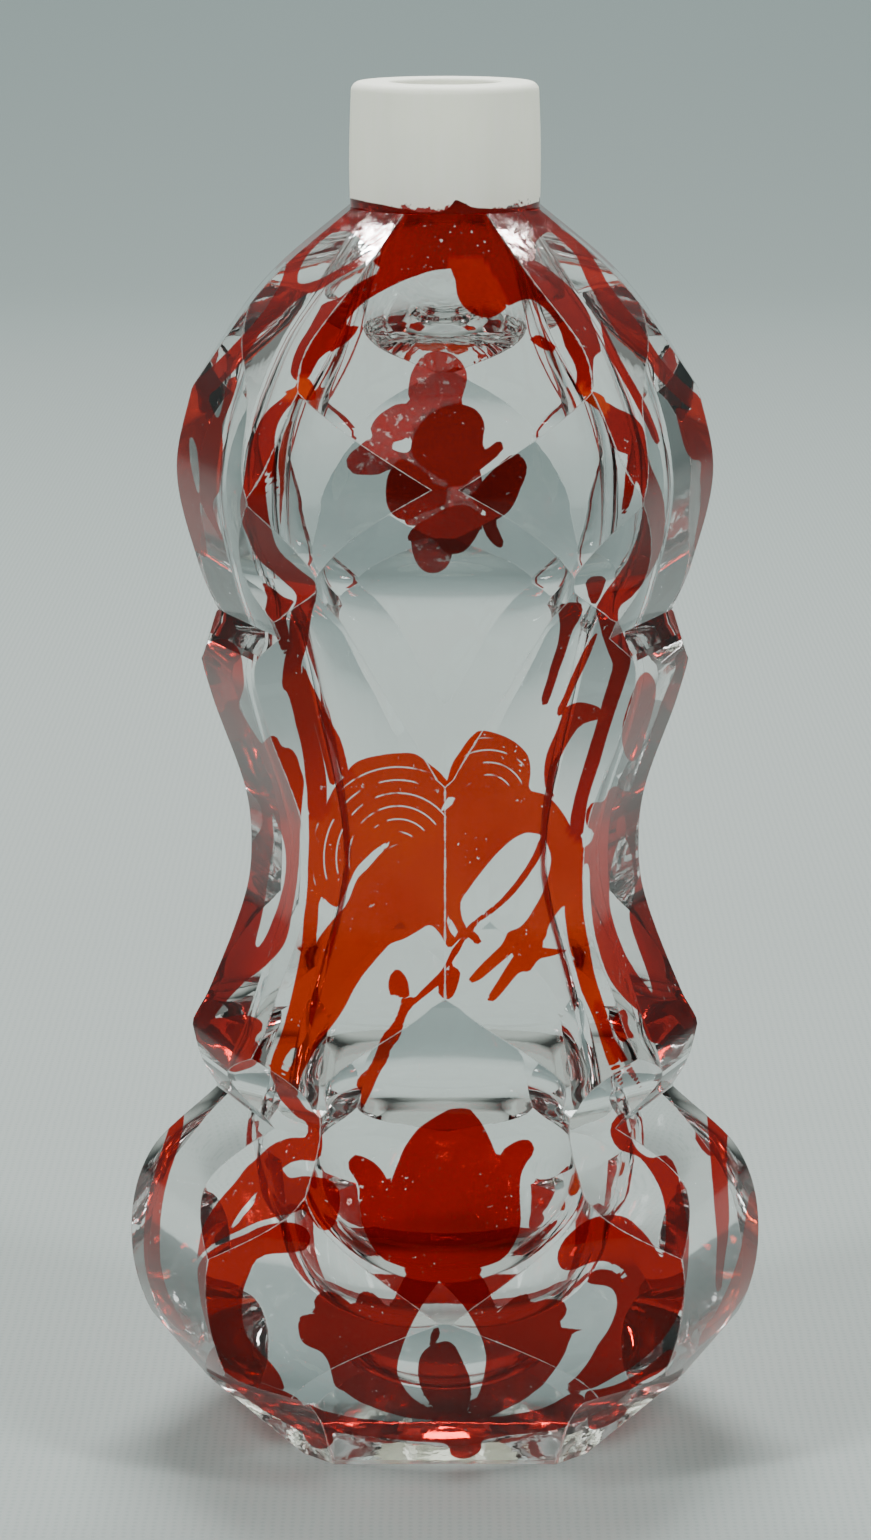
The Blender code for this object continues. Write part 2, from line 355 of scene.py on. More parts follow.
round_line = round_rows()
directions = np.arctan2(body_y[-1], body_x[-1])
print(len(round_line), "round rows, the hollow is", round(2 * hollow_radius(LOWER_BULB_AT), 1), "mm across")

# %% [markdown]
# create_grid gives the rows and columns, and each vertex is moved to its
# place. Two attributes go with it, because the materials need them later: how
# far a vertex lies from a ridge, and which facet it is on.

# %% The glass shell
FOOT_RINGS = (0.0, 0.4, 0.75)
FOOT_MARK, ROUND_MARK = -1, -2
NO_RIDGE = 3.0
column_count = sum(columns)
grid = []


def add_row(x, y, z, ridge, facet):
    """One row of vertices: their places in metres, distance to a ridge in millimetres, and facet or mark."""
    values = (x, y, z, ridge, facet)
    grid.append([np.broadcast_to(np.asarray(value, float), (column_count,)) for value in values])


for share in FOOT_RINGS:
    add_row(body_x[0] * share * SPREAD, body_y[0] * share * SPREAD, 0.0, NO_RIDGE, FOOT_MARK)
for row, height in enumerate(rows):
    add_row(body_x[row] * SPREAD, body_y[row] * SPREAD, height * MM, body_ridge[row], body_facet[row])
for height, radius in round_line:
    x, y = np.cos(directions) * radius * MM, np.sin(directions) * radius * MM
    add_row(x, y, height * MM, NO_RIDGE, ROUND_MARK)
grid_x, grid_y, grid_z, grid_ridge, grid_facet = np.array(grid).transpose(1, 0, 2)
row_count = len(grid_x)

shell = bmesh.new()
bmesh.ops.create_grid(shell, x_segments=column_count, y_segments=row_count - 1, size=0.5)
mesh = bpy.data.meshes.new("bottle_glass")
shell.to_mesh(mesh)
shell.free()
flat = np.empty(len(mesh.vertices) * 3)
mesh.vertices.foreach_get("co", flat)
flat = flat.reshape(-1, 3)
column_of = np.rint((flat[:, 0] + 0.5) * column_count).astype(int) % column_count
row_of = np.rint((flat[:, 1] + 0.5) * (row_count - 1)).astype(int)
places = np.stack([axis[row_of, column_of] for axis in (grid_x, grid_y, grid_z)], axis=1)
mesh.vertices.foreach_set("co", places.ravel())


def add_attribute(name, values):
    """Stores one number on each vertex, for a material to read."""
    data = mesh.attributes.new(name, "FLOAT", "POINT").data
    data.foreach_set("value", np.asarray(values, float))


add_attribute("ridge", grid_ridge[row_of, column_of])
add_attribute("facet", grid_facet[row_of, column_of])

# %% [markdown]
# remove_doubles sews the last column to the first and closes the poles, so
# the shell is watertight. Shading is smooth along a facet's sweep and sharp
# where two facets meet.

# %% Sew the shell
SEWN = 0.004 * MM
SHARP_ANGLE = math.radians(9)
shell = bmesh.new()
shell.from_mesh(mesh)
bmesh.ops.remove_doubles(shell, verts=shell.verts, dist=SEWN)
bmesh.ops.recalc_face_normals(shell, faces=shell.faces)
open_edges = sum(1 for edge in shell.edges if not edge.is_manifold)
triangles = sum(len(face.verts) - 2 for face in shell.faces)
shell.to_mesh(mesh)
shell.free()
mesh.shade_smooth()
mesh.set_sharp_from_angle(angle=SHARP_ANGLE)
bottle = bpy.data.objects.new("bottle_glass", mesh)
bpy.context.scene.collection.objects.link(bottle)
print(triangles, "triangles,", open_edges, "open edges")

# %% [markdown]
# The ornament is only a colour: a thin ruby stain that was fired on and then
# engraved away. Each patch is drawn as an outline in the photograph's frame,
# with a smooth curve through its points; a point given twice is a corner.
# Every vertex that faces the camera then gets its distance to the outlines,
# negative inside. A shader that switches at zero has a crisp edge between
# vertices, so the picture needs neither an image nor a finer mesh.

# %% Patches of the upper lobe
COLLAR_AND_LEFT_ARC = [
    (322, 196), (420, 212), (447, 209), (455, 200), (464, 203), (478, 208), (520, 207), (560, 196), (560, 222),
    (536, 241), (534, 262), (500, 262), (455, 268), (432, 271), (413, 277), (396, 284), (379, 293), (364, 302),
    (354, 312), (345, 324), (352, 326), (359, 325), (355, 334), (347, 342), (329, 351), (320, 358), (313, 370),
    (308, 379), (300, 381), (291, 376), (292, 362), (298, 346), (306, 333), (317, 314), (324, 302), (338, 299),
    (350, 289), (365, 279), (382, 270), (372, 262), (383, 250), (366, 245), (357, 236), (345, 231), (322, 232),
]
RIGHT_ARC = [
    (452, 264), (500, 250), (538, 262), (556, 275), (572, 289), (585, 306), (592, 322), (598, 338), (601, 351),
    (594, 357), (593, 374), (592, 392), (576, 392), (577, 374), (573, 361), (565, 347), (561, 333), (554, 319),
    (544, 308), (532, 300), (520, 301), (508, 306), (500, 300), (486, 286),
]
DROP = [
    (451, 262), (455, 280), (457, 294), (463, 306), (475, 315), (489, 318), (500, 313), (507, 306), (500, 292),
    (480, 262),
]
LEFT_SHOULDER_LEAF = [
    (345, 224), (320, 226), (296, 240), (276, 262), (286, 262), (281, 282), (270, 302), (255, 322), (240, 338),
    (222, 357), (203, 375), (190, 386), (212, 392), (222, 383), (235, 370), (247, 355), (256, 340), (266, 326),
    (279, 318), (290, 306), (305, 295), (320, 290), (335, 280), (352, 271), (367, 261), (384, 250), (372, 250),
    (350, 263), (335, 271), (318, 280), (300, 284), (298, 275), (303, 262), (312, 250), (322, 240), (335, 232),
]
LEFT_LEAF_TIP = [(352, 330), (359, 324), (355, 334), (347, 342), (338, 348), (328, 353), (334, 340)]
RIGHT_LEAF_TIP = [(528, 337), (540, 335), (550, 342), (557, 347), (556, 353), (545, 350), (535, 344)]
LEFT_KNOT = [(299, 379), (308, 378), (314, 387), (316, 399), (305, 400), (292, 396), (281, 394), (295, 387)]
RIGHT_KNOT = [(578, 389), (592, 391), (604, 397), (607, 408), (600, 411), (590, 404), (582, 398)]
LEFT_CRESCENT = [
    (302, 392), (291, 391), (281, 399), (270, 408), (262, 418), (256, 430), (250, 445), (246, 462), (243, 485),
    (240, 505), (242, 522), (248, 538), (254, 552), (262, 563), (274, 573), (284, 582), (294, 591), (297, 600),
    (291, 612), (289, 630), (288, 645), (284, 662), (283, 690), (303, 690), (301, 668), (306, 648), (309, 632),
    (312, 612), (316, 598), (316, 583), (305, 574), (292, 563), (284, 556), (276, 545), (271, 528), (268, 512),
    (266, 495), (265, 478), (265, 464), (270, 474), (275, 488), (281, 500), (279, 488), (276, 470), (275, 452),
    (275, 438), (278, 424), (284, 413), (292, 404), (302, 397),
]
RIGHT_CRESCENT = [
    (590, 400), (604, 401), (617, 408), (630, 414), (638, 421), (644, 430), (647, 447), (650, 464), (657, 480),
    (663, 497), (665, 515), (664, 535), (660, 553), (652, 570), (643, 583), (632, 597), (620, 606), (618, 618),
    (622, 630), (628, 645), (631, 657), (629, 670), (624, 685), (619, 700), (613, 718), (607, 737), (601, 758),
    (594, 780), (588, 800), (585, 820), (581, 838), (570, 827), (573, 805), (578, 785), (584, 765), (590, 745),
    (597, 722), (603, 700), (609, 680), (613, 666), (609, 655), (603, 638), (599, 622), (596, 609), (600, 600),
    (605, 592), (612, 583), (620, 572), (628, 560), (634, 545), (640, 530), (642, 512), (642, 497), (639, 485),
    (636, 480), (634, 490), (631, 500), (627, 511), (622, 519), (622, 505), (624, 490), (625, 475), (627, 462),
    (628, 455), (620, 452), (612, 446), (608, 435), (603, 420), (597, 408),
]
LEFT_SIDE_LEAF = [
    (196, 384), (176, 395), (170, 440), (170, 480), (174, 510), (185, 540), (204, 557), (207, 553), (205, 535),
    (201, 515), (200, 502), (206, 514), (214, 528), (222, 541), (222, 536), (215, 518), (213, 502), (219, 492),
    (222, 470), (223, 445), (222, 428), (226, 415), (233, 398), (238, 378), (229, 379), (224, 398), (218, 418),
    (212, 408), (209, 396), (222, 383), (210, 378),
]
LEFT_SIDE_SLIT = [(190, 436), (196, 446), (199, 470), (199, 494), (194, 480), (190, 458)]
RIGHT_SIDE_BAND = [
    (548, 222), (575, 238), (592, 256), (606, 280), (622, 303), (640, 325), (655, 350), (672, 372), (690, 388),
    (700, 398), (702, 410), (690, 408), (678, 398), (666, 386), (655, 374), (648, 360), (638, 353), (628, 346),
    (618, 335), (608, 318), (598, 300), (588, 283), (580, 265), (574, 252), (560, 241),
]
RIGHT_SIDE_LEAF = [
    (676, 408), (690, 410), (700, 398), (712, 402), (724, 450), (724, 490), (716, 520), (706, 540), (696, 552),
    (694, 545), (698, 520), (701, 500), (700, 480), (701, 461), (694, 460), (688, 455), (684, 445), (680, 430),
]
RIGHT_SIDE_STRIPE = [
    (600, 318), (612, 342), (625, 367), (640, 393), (650, 413), (660, 440), (655, 443), (645, 422), (632, 397),
    (618, 372), (606, 350),
]
# %% [markdown]
# On the upper lobe's broad facet hangs a flower. Its dark petals keep the
# whole stain, and the pale ones round them were half rubbed away.

# %% Patches of the flower
FLOWER_PALE = [
    (408, 392), (410, 378), (415, 365), (424, 355), (436, 351), (450, 353), (460, 360), (466, 370), (467, 380),
    (464, 392), (462, 402), (470, 440), (480, 470), (484, 500), (480, 515), (470, 510), (450, 512), (430, 522),
    (412, 526), (404, 520), (420, 500), (410, 470), (388, 470), (380, 474), (366, 475), (352, 473), (346, 463),
    (350, 454), (358, 447), (367, 440), (373, 438), (370, 430), (376, 418), (386, 410), (398, 404), (412, 403),
    (409, 398),
]
FLOWER_PALE_NOTCH = [(390, 444), (402, 440), (412, 436), (411, 448), (405, 453), (394, 450)]
FLOWER_PALE_FOOT = [
    (412, 535), (425, 530), (440, 530), (452, 546), (450, 562), (443, 570), (434, 573), (424, 571), (416, 562),
    (412, 550),
]
PETAL_TOP = [
    (412, 455), (411, 445), (414, 435), (420, 424), (430, 414), (443, 407), (455, 404), (466, 405), (476, 410),
    (483, 419), (485, 428), (483, 438), (484, 449), (492, 446), (497, 441), (503, 443), (503, 450), (493, 460),
    (480, 470), (470, 481), (462, 487), (452, 486), (443, 480), (430, 472), (418, 463),
]
PETAL_LEFT = [
    (386, 498), (386, 485), (389, 473), (396, 462), (404, 458), (412, 463), (420, 468), (430, 476), (433, 483),
    (446, 488), (447, 497), (444, 505), (438, 508), (423, 513), (412, 519), (402, 520), (393, 515), (388, 507),
]
PETAL_RIGHT = [
    (471, 501), (474, 493), (481, 483), (489, 474), (498, 465), (508, 457), (515, 452), (523, 458), (527, 467),
    (525, 478), (520, 490), (515, 502), (508, 512), (500, 518), (496, 522), (500, 533), (504, 543), (500, 548),
    (492, 543), (485, 533), (482, 520), (486, 513), (480, 508),
]
PETAL_FOOT = [
    (407, 540), (410, 532), (416, 525), (428, 518), (440, 511), (452, 506), (466, 505), (476, 510), (484, 518),
    (480, 530), (474, 540), (468, 548), (460, 553), (448, 554), (440, 547), (434, 540), (425, 538), (415, 541),
]

# %% [markdown]
# The arcs run on down the waist as thin stripes and bands. Two dark patches
# near the notches are painted dark reflections of the glass, drawn as the
# deepest stain.

# %% Stripes of the waist
# Painted dark reflection by the left notch, drawn as deep stain.
LEFT_NOTCH_DARK_REFLECTION = [
    (262, 582), (275, 590), (284, 597), (294, 602), (286, 616), (290, 640), (284, 655), (272, 625), (264, 608),
    (268, 600),
]
LEFT_STRIPE = [
    (303, 664), (310, 680), (320, 700), (331, 722), (340, 738), (346, 758), (349, 776), (342, 778), (337, 760),
    (331, 742), (321, 720), (311, 698), (303, 680),
]
LEFT_BAND = [
    (283, 680), (290, 700), (296, 725), (302, 750), (305, 775), (307, 790), (309, 815), (323, 815), (327, 800),
    (326, 775), (321, 748), (315, 725), (309, 700), (303, 675),
]
LEFT_SECOND_STRIPE = [
    (304, 668), (312, 690), (320, 715), (328, 740), (333, 765), (336, 782), (330, 784), (325, 765), (319, 742),
    (313, 720), (306, 695),
]
RIGHT_STEM = [
    (601, 709), (591, 704), (578, 702), (568, 706), (562, 716), (556, 732), (548, 750), (544, 768), (545, 785),
    (549, 799), (555, 800), (552, 785), (556, 768), (563, 752), (571, 738), (580, 726), (592, 721), (602, 718),
]
RIGHT_UPPER_STRIPE = [
    (598, 632), (592, 650), (584, 668), (576, 685), (568, 703), (562, 716), (556, 712), (563, 698), (570, 680),
    (577, 664), (585, 648), (593, 636),
]
RIGHT_DARK_STRIPE = [
    (558, 606), (572, 602), (583, 605), (580, 618), (572, 632), (566, 652), (560, 668), (553, 690), (546, 706),
    (541, 700), (547, 680), (552, 662), (558, 642), (560, 624),
]
# Painted dark reflection by the right notch, drawn as the deepest stain.
RIGHT_NOTCH_DARK_REFLECTION = [(586, 578), (605, 577), (603, 590), (596, 604), (590, 602), (587, 590)]
# %% [markdown]
# A bird with spread wings sits across the waist and holds a twig. The clear
# slits between its feathers were cut with the engraver's wheel.

# %% Patches of the bird
BIRD = [
    (309, 812), (322, 812), (328, 800), (334, 788), (344, 777), (352, 765), (364, 759), (380, 755), (400, 753),
    (416, 754), (428, 763), (440, 772), (447, 781), (447, 781), (452, 764), (460, 752), (468, 740), (478, 731),
    (492, 732), (508, 738), (520, 746), (528, 756), (531, 770), (529, 788), (536, 792), (546, 795), (556, 804),
    (565, 816), (572, 828), (582, 838), (583, 870), (583, 905), (586, 930), (590, 950), (594, 972), (601, 995),
    (609, 1020), (615, 1042), (620, 1065), (625, 1094), (625, 1094), (615, 1078), (605, 1055), (598, 1032),
    (590, 1010), (581, 990), (575, 968), (569, 945), (566, 925), (564, 905), (564, 905), (558, 912), (549, 925),
    (546, 938), (540, 946), (556, 949), (567, 951), (552, 956), (538, 960), (530, 971), (519, 973), (506, 988),
    (494, 1001), (487, 999), (497, 982), (507, 966), (516, 951), (505, 959), (492, 970), (478, 981), (467, 982),
    (478, 968), (492, 954), (503, 943), (508, 932), (520, 927), (530, 915), (541, 896), (548, 876), (551, 858),
    (547, 844), (542, 836), (533, 833), (522, 834), (508, 843), (494, 857), (480, 874), (468, 890), (461, 902),
    (462, 918), (468, 932), (458, 940), (449, 948), (440, 934), (430, 925), (418, 931), (404, 939), (390, 944),
    (380, 955), (366, 971), (353, 991), (344, 1009), (332, 1026), (320, 1042), (312, 1056), (303, 1072),
    (300, 1082), (296, 1095), (285, 1090), (275, 1085), (270, 1070), (273, 1055), (281, 1035), (288, 1010),
    (294, 985), (299, 960), (302, 940), (304, 915), (307, 890), (308, 860), (309, 830),
]
BIRD_LONG_SLIT = [
    (394, 839), (394, 839), (380, 846), (367, 857), (356, 869), (350, 882), (344, 896), (338, 907), (331, 905),
    (322, 897), (319, 903), (318, 920), (316, 942), (316, 942), (325, 929), (336, 916), (344, 908), (350, 897),
    (357, 879), (368, 868), (378, 856), (388, 846),
]
BIRD_TAIL_SLIT = [(295, 1046), (286, 1056), (281, 1070), (284, 1076), (291, 1066), (297, 1052)]
BIRD_NECK_NOTCH = [(441, 812), (445, 802), (449, 797), (456, 799), (450, 806)]
BIRD_BREAST_SLIT = [(446, 914), (452, 921), (458, 933), (456, 938), (449, 929)]
TWIG = [
    (547, 834), (541, 855), (531, 872), (519, 888), (506, 902), (493, 913), (481, 921), (473, 929), (479, 936),
    (482, 943), (475, 944), (467, 937), (460, 950), (451, 965), (460, 970), (459, 981), (455, 993), (450, 999),
    (443, 998), (437, 990), (441, 984), (430, 992), (420, 1000), (410, 1009), (404, 1022), (400, 1038),
    (391, 1048), (388, 1060), (381, 1070), (373, 1088), (363, 1108), (360, 1103), (361, 1092), (356, 1086),
    (359, 1076), (369, 1068), (376, 1052), (382, 1036), (390, 1027), (397, 1015), (401, 1000), (397, 995),
    (391, 996), (388, 985), (391, 974), (397, 969), (404, 974), (409, 985), (411, 1000), (422, 990), (433, 979),
    (443, 968), (452, 950), (462, 937), (466, 928), (476, 919), (489, 909), (501, 899), (513, 885), (524, 870),
    (534, 853), (540, 838),
]
# %% [markdown]
# A column of leaves climbs each side of the waist, with a clear lens in it.

# %% Patches of the columns
LEFT_COLUMN = [
    (262, 744), (270, 736), (277, 737), (282, 747), (290, 748), (297, 756), (301, 770), (304, 782), (302, 805),
    (300, 835), (299, 862), (296, 890), (292, 912), (287, 938), (278, 953), (262, 969), (246, 981), (232, 995),
    (220, 1009), (213, 1018), (213, 1018), (228, 1017), (244, 1015), (258, 1019), (263, 1025), (260, 1033),
    (252, 1039), (260, 1046), (262, 1055), (255, 1065), (244, 1070), (232, 1072), (220, 1063), (207, 1050),
    (192, 1036), (180, 1022), (190, 1000), (205, 980), (218, 950), (230, 920), (240, 890), (246, 862),
    (252, 842), (262, 826), (260, 805), (248, 790), (238, 770), (228, 745), (214, 715), (200, 688), (190, 650),
    (206, 645), (214, 640), (224, 639), (233, 643), (240, 652), (243, 668), (244, 685), (241, 697), (239, 706),
    (245, 718), (253, 731), (260, 742),
]
LEFT_COLUMN_LENS = [
    (272, 812), (278, 826), (284, 842), (286, 862), (284, 882), (279, 902), (272, 922), (264, 940), (257, 948),
    (256, 940), (261, 920), (265, 900), (268, 880), (271, 860), (274, 838),
]
RIGHT_BAR = [
    (646, 672), (652, 676), (656, 685), (655, 700), (651, 718), (645, 736), (640, 755), (632, 762), (625, 755),
    (622, 740), (623, 722), (628, 705), (634, 688), (640, 676),
]
RIGHT_EDGE_BAND = [
    (676, 655), (700, 645), (700, 690), (680, 735), (660, 775), (645, 800), (629, 802), (632, 787), (638, 768),
    (646, 748), (654, 725), (661, 703), (670, 682), (676, 668),
]
RIGHT_COLUMN = [
    (587, 808), (594, 802), (604, 802), (608, 791), (615, 786), (623, 790), (640, 800), (636, 830), (636, 860),
    (639, 880), (642, 858), (660, 870), (680, 920), (710, 985), (712, 1030), (695, 1034), (680, 1035),
    (670, 1036), (664, 1044), (650, 1041), (643, 1026), (641, 1014), (630, 1004), (617, 990), (607, 974),
    (600, 955), (595, 935), (592, 915), (590, 890), (589, 866), (583, 862), (582, 850), (590, 843), (594, 832),
    (586, 825),
]
RIGHT_COLUMN_LENS = [
    (614, 856), (610, 880), (610, 905), (616, 930), (626, 955), (638, 975), (650, 990), (653, 995), (649, 978),
    (641, 955), (634, 935), (629, 915), (634, 895), (634, 875), (630, 850), (622, 836),
]
RIGHT_HEART = [
    (618, 1012), (624, 1009), (628, 1015), (628, 1026), (633, 1034), (638, 1041), (629, 1038), (622, 1043),
    (614, 1031), (612, 1020),
]
RIGHT_FOOT_STRIPE = [
    (596, 1004), (604, 1016), (612, 1034), (622, 1050), (634, 1070), (644, 1090), (636, 1084), (622, 1064),
    (610, 1042), (602, 1022),
]

# %% [markdown]
# The tulip stands on two leaves, with a clear arch between them and a seed in
# the arch.

# %% Patches of the tulip
TULIP = [
    (408, 1269), (397, 1265), (385, 1260), (376, 1252), (370, 1243), (365, 1232), (361, 1218), (359, 1200),
    (359, 1187), (354, 1177), (348, 1168), (349, 1160), (354, 1155), (362, 1156), (372, 1161), (380, 1168),
    (386, 1177), (390, 1187), (390, 1187), (393, 1175), (398, 1163), (403, 1150), (408, 1142), (413, 1135),
    (420, 1127), (430, 1120), (440, 1114), (450, 1109), (460, 1108), (470, 1109), (475, 1115), (481, 1122),
    (487, 1133), (492, 1144), (496, 1154), (499, 1158), (499, 1158), (503, 1150), (511, 1144), (520, 1140),
    (529, 1140), (534, 1146), (533, 1154), (527, 1162), (522, 1172), (520, 1185), (520, 1200), (521, 1220),
    (518, 1235), (512, 1248), (504, 1258), (493, 1264), (475, 1269), (475, 1269), (484, 1280), (490, 1293),
    (495, 1306), (498, 1315), (498, 1315), (503, 1308), (509, 1301), (516, 1297), (525, 1292), (529, 1297),
    (531, 1303), (536, 1302), (545, 1299), (555, 1299), (563, 1301), (567, 1308), (565, 1316), (560, 1322),
    (561, 1327), (570, 1328), (580, 1327), (588, 1324), (582, 1330), (574, 1333), (569, 1342), (565, 1353),
    (558, 1365), (550, 1376), (543, 1385), (533, 1393), (522, 1401), (508, 1408), (492, 1416), (470, 1424),
    (440, 1424), (432, 1420), (415, 1419), (400, 1416), (385, 1412), (372, 1407), (360, 1402), (352, 1397),
    (343, 1391), (335, 1386), (331, 1372), (328, 1362), (322, 1353), (315, 1349), (306, 1345), (300, 1338),
    (298, 1325), (301, 1315), (308, 1314), (316, 1313), (314, 1305), (315, 1298), (322, 1292), (332, 1292),
    (340, 1295), (348, 1302), (354, 1305), (357, 1299), (361, 1292), (368, 1291), (374, 1293), (381, 1300),
    (386, 1306), (390, 1305), (397, 1293), (403, 1280), (409, 1269),
]
ARCH = [
    (439, 1281), (439, 1281), (447, 1288), (456, 1297), (465, 1308), (472, 1319), (479, 1332), (484, 1346),
    (486, 1360), (484, 1374), (481, 1388), (477, 1397), (470, 1407), (465, 1414), (465, 1414), (469, 1404),
    (471, 1390), (466, 1372), (450, 1350), (430, 1352), (421, 1372), (424, 1395), (438, 1411), (438, 1411),
    (425, 1406), (413, 1398), (405, 1389), (399, 1378), (397, 1370), (399, 1358), (403, 1345), (408, 1332),
    (415, 1318), (423, 1304), (431, 1292),
]
SEED = [
    (437, 1343), (447, 1341), (454, 1345), (459, 1353), (464, 1364), (469, 1375), (471, 1386), (471, 1395),
    (469, 1404), (465, 1415), (450, 1422), (438, 1413), (430, 1403), (423, 1393), (419, 1381), (418, 1368),
    (420, 1357), (427, 1348),
]
SEED_TIP = [(433, 1329), (438, 1327), (440, 1334), (436, 1342), (431, 1346), (430, 1338)]
# %% [markdown]
# A band goes round just above the foot. From it a scroll rises on each side of
# the tulip, and the outer facets carry narrow sickles.

# %% Patches of the foot and the scrolls
FOOT_BAND = [
    (304, 1405), (322, 1410), (345, 1416), (375, 1420), (405, 1422), (432, 1421), (450, 1415), (470, 1415),
    (492, 1417), (515, 1414), (540, 1409), (558, 1401), (572, 1393), (585, 1398), (587, 1420), (573, 1423),
    (556, 1430), (535, 1433), (512, 1435), (495, 1438), (482, 1441), (481, 1450), (472, 1457), (461, 1459),
    (451, 1455), (446, 1444), (420, 1442), (390, 1439), (360, 1436), (334, 1433), (334, 1441), (327, 1448),
    (316, 1448), (307, 1442), (302, 1430),
]
LEFT_FOOT_STRIP = [
    (214, 1346), (226, 1360), (240, 1370), (256, 1380), (274, 1387), (288, 1393), (303, 1404), (304, 1431),
    (288, 1424), (270, 1414), (252, 1403), (238, 1391), (224, 1381), (205, 1368),
]
RIGHT_FOOT_STRIP = [
    (585, 1393), (600, 1389), (615, 1385), (630, 1378), (643, 1370), (655, 1360), (668, 1350), (677, 1352),
    (672, 1361), (662, 1371), (650, 1378), (638, 1384), (627, 1393), (618, 1402), (612, 1405), (622, 1405),
    (628, 1410), (618, 1420), (604, 1427), (590, 1429), (587, 1415),
]
LEFT_SCROLL = [
    (305, 1137), (288, 1138), (270, 1146), (257, 1158), (245, 1169), (234, 1184), (222, 1197), (211, 1212),
    (203, 1227), (199, 1243), (197, 1259), (197, 1259), (212, 1245), (228, 1236), (243, 1229), (258, 1222),
    (280, 1216), (296, 1212), (303, 1210), (312, 1220), (320, 1230), (332, 1228), (338, 1215), (340, 1200),
    (338, 1188), (330, 1180), (316, 1177), (303, 1176), (290, 1178), (284, 1172), (281, 1170), (290, 1163),
    (303, 1160), (317, 1161), (322, 1150), (322, 1128), (321, 1112), (316, 1110), (310, 1113), (302, 1103),
    (296, 1095), (285, 1086), (276, 1088), (281, 1100), (290, 1110), (297, 1117), (306, 1122), (308, 1130),
]
LEFT_SCROLL_SLIT = [(258, 1190), (250, 1200), (240, 1212), (231, 1227), (236, 1226), (244, 1215), (253, 1205)]
LEFT_SCROLL_FOOT = [
    (198, 1266), (210, 1251), (228, 1241), (248, 1233), (262, 1226), (285, 1222), (300, 1225), (309, 1232),
    (310, 1242), (305, 1250), (290, 1253), (270, 1254), (257, 1259), (250, 1272), (244, 1288), (242, 1305),
    (243, 1322), (248, 1338), (258, 1350), (270, 1362), (280, 1376), (284, 1390), (270, 1386), (254, 1380),
    (240, 1371), (228, 1361), (216, 1346), (208, 1330), (202, 1308), (199, 1288),
]
RIGHT_SCROLL = [
    (557, 1257), (563, 1241), (575, 1229), (590, 1219), (607, 1215), (626, 1217), (638, 1227), (650, 1240),
    (660, 1256), (663, 1259), (665, 1245), (666, 1225), (664, 1203), (659, 1186), (650, 1170), (640, 1158),
    (632, 1154), (620, 1150), (612, 1140), (610, 1128), (615, 1118), (624, 1112), (628, 1128), (636, 1148),
    (650, 1158), (662, 1155), (670, 1157), (677, 1170), (681, 1190), (685, 1210), (689, 1230), (689, 1252),
    (687, 1275), (683, 1300), (676, 1320), (664, 1338), (650, 1353), (632, 1367), (612, 1378), (590, 1389),
    (564, 1389), (577, 1376), (588, 1362), (598, 1345), (608, 1330), (615, 1314), (617, 1300), (612, 1289),
    (602, 1285), (590, 1284), (586, 1278), (593, 1271), (606, 1269), (616, 1273), (625, 1280), (627, 1274),
    (618, 1266), (602, 1261), (588, 1264), (573, 1270), (562, 1269),
]
LEFT_SIDE_SICKLE = [
    (183, 1098), (184, 1118), (181, 1137), (175, 1157), (168, 1178), (163, 1202), (160, 1227), (160, 1252),
    (163, 1277), (172, 1302), (186, 1328), (176, 1328), (160, 1308), (148, 1280), (144, 1255), (144, 1228),
    (148, 1200), (154, 1175), (162, 1150), (170, 1125),
]
RIGHT_SIDE_SICKLE = [
    (706, 1090), (712, 1098), (720, 1108), (730, 1120), (735, 1126), (729, 1132), (727, 1145), (727, 1165),
    (728, 1185), (729, 1205), (729, 1225), (727, 1245), (724, 1265), (721, 1290), (716, 1290), (716, 1265),
    (717, 1240), (715, 1215), (713, 1190), (711, 1165), (709, 1140), (707, 1115),
]
RIGHT_SIDE_EDGE = [
    (752, 1190), (764, 1205), (766, 1230), (764, 1255), (756, 1275), (745, 1295), (733, 1312), (722, 1326),
    (710, 1338), (698, 1347), (703, 1330), (714, 1315), (722, 1300), (730, 1282), (736, 1265), (741, 1248),
    (744, 1228), (747, 1208),
]

# %% [markdown]
# Neighbouring patches go into different layers, so a thin clear line between
# two of them stays sharp. Each patch also has a depth of colour, from the
# orange of a thin stain, 0, to the dark red of a double one, 1.

# %% Layers
LAYER_ONE = [
    (COLLAR_AND_LEFT_ARC, 0.85), (LEFT_CRESCENT, 0.75), (FLOWER_PALE, 0.7), (BIRD, 0.2), (LEFT_COLUMN, 0.35),
    (RIGHT_COLUMN, 0.4), (TULIP, 0.8), (LEFT_SCROLL, 0.5), (RIGHT_SIDE_BAND, 0.5), (RIGHT_SIDE_SICKLE, 0.6),
    (LEFT_SIDE_SICKLE, 0.5), (RIGHT_EDGE_BAND, 0.5), (RIGHT_LEAF_TIP, 0.6), (LEFT_SIDE_LEAF, 0.35),
    (FLOWER_PALE_FOOT, 0.7),
]
LAYER_TWO = [
    (RIGHT_ARC, 0.85), (RIGHT_CRESCENT, 0.8), (LEFT_SHOULDER_LEAF, 0.6), (LEFT_KNOT, 0.05), (LEFT_BAND, 0.45),
    (RIGHT_SIDE_LEAF, 0.35), (TWIG, 0.3), (LEFT_SCROLL_FOOT, 0.65), (RIGHT_SCROLL, 0.75), (RIGHT_BAR, 0.35),
    (RIGHT_SIDE_EDGE, 0.15), (FOOT_BAND, 0.85), (LEFT_STRIPE, 0.45), (RIGHT_HEART, 0.5), (LEFT_LEAF_TIP, 0.7),
]
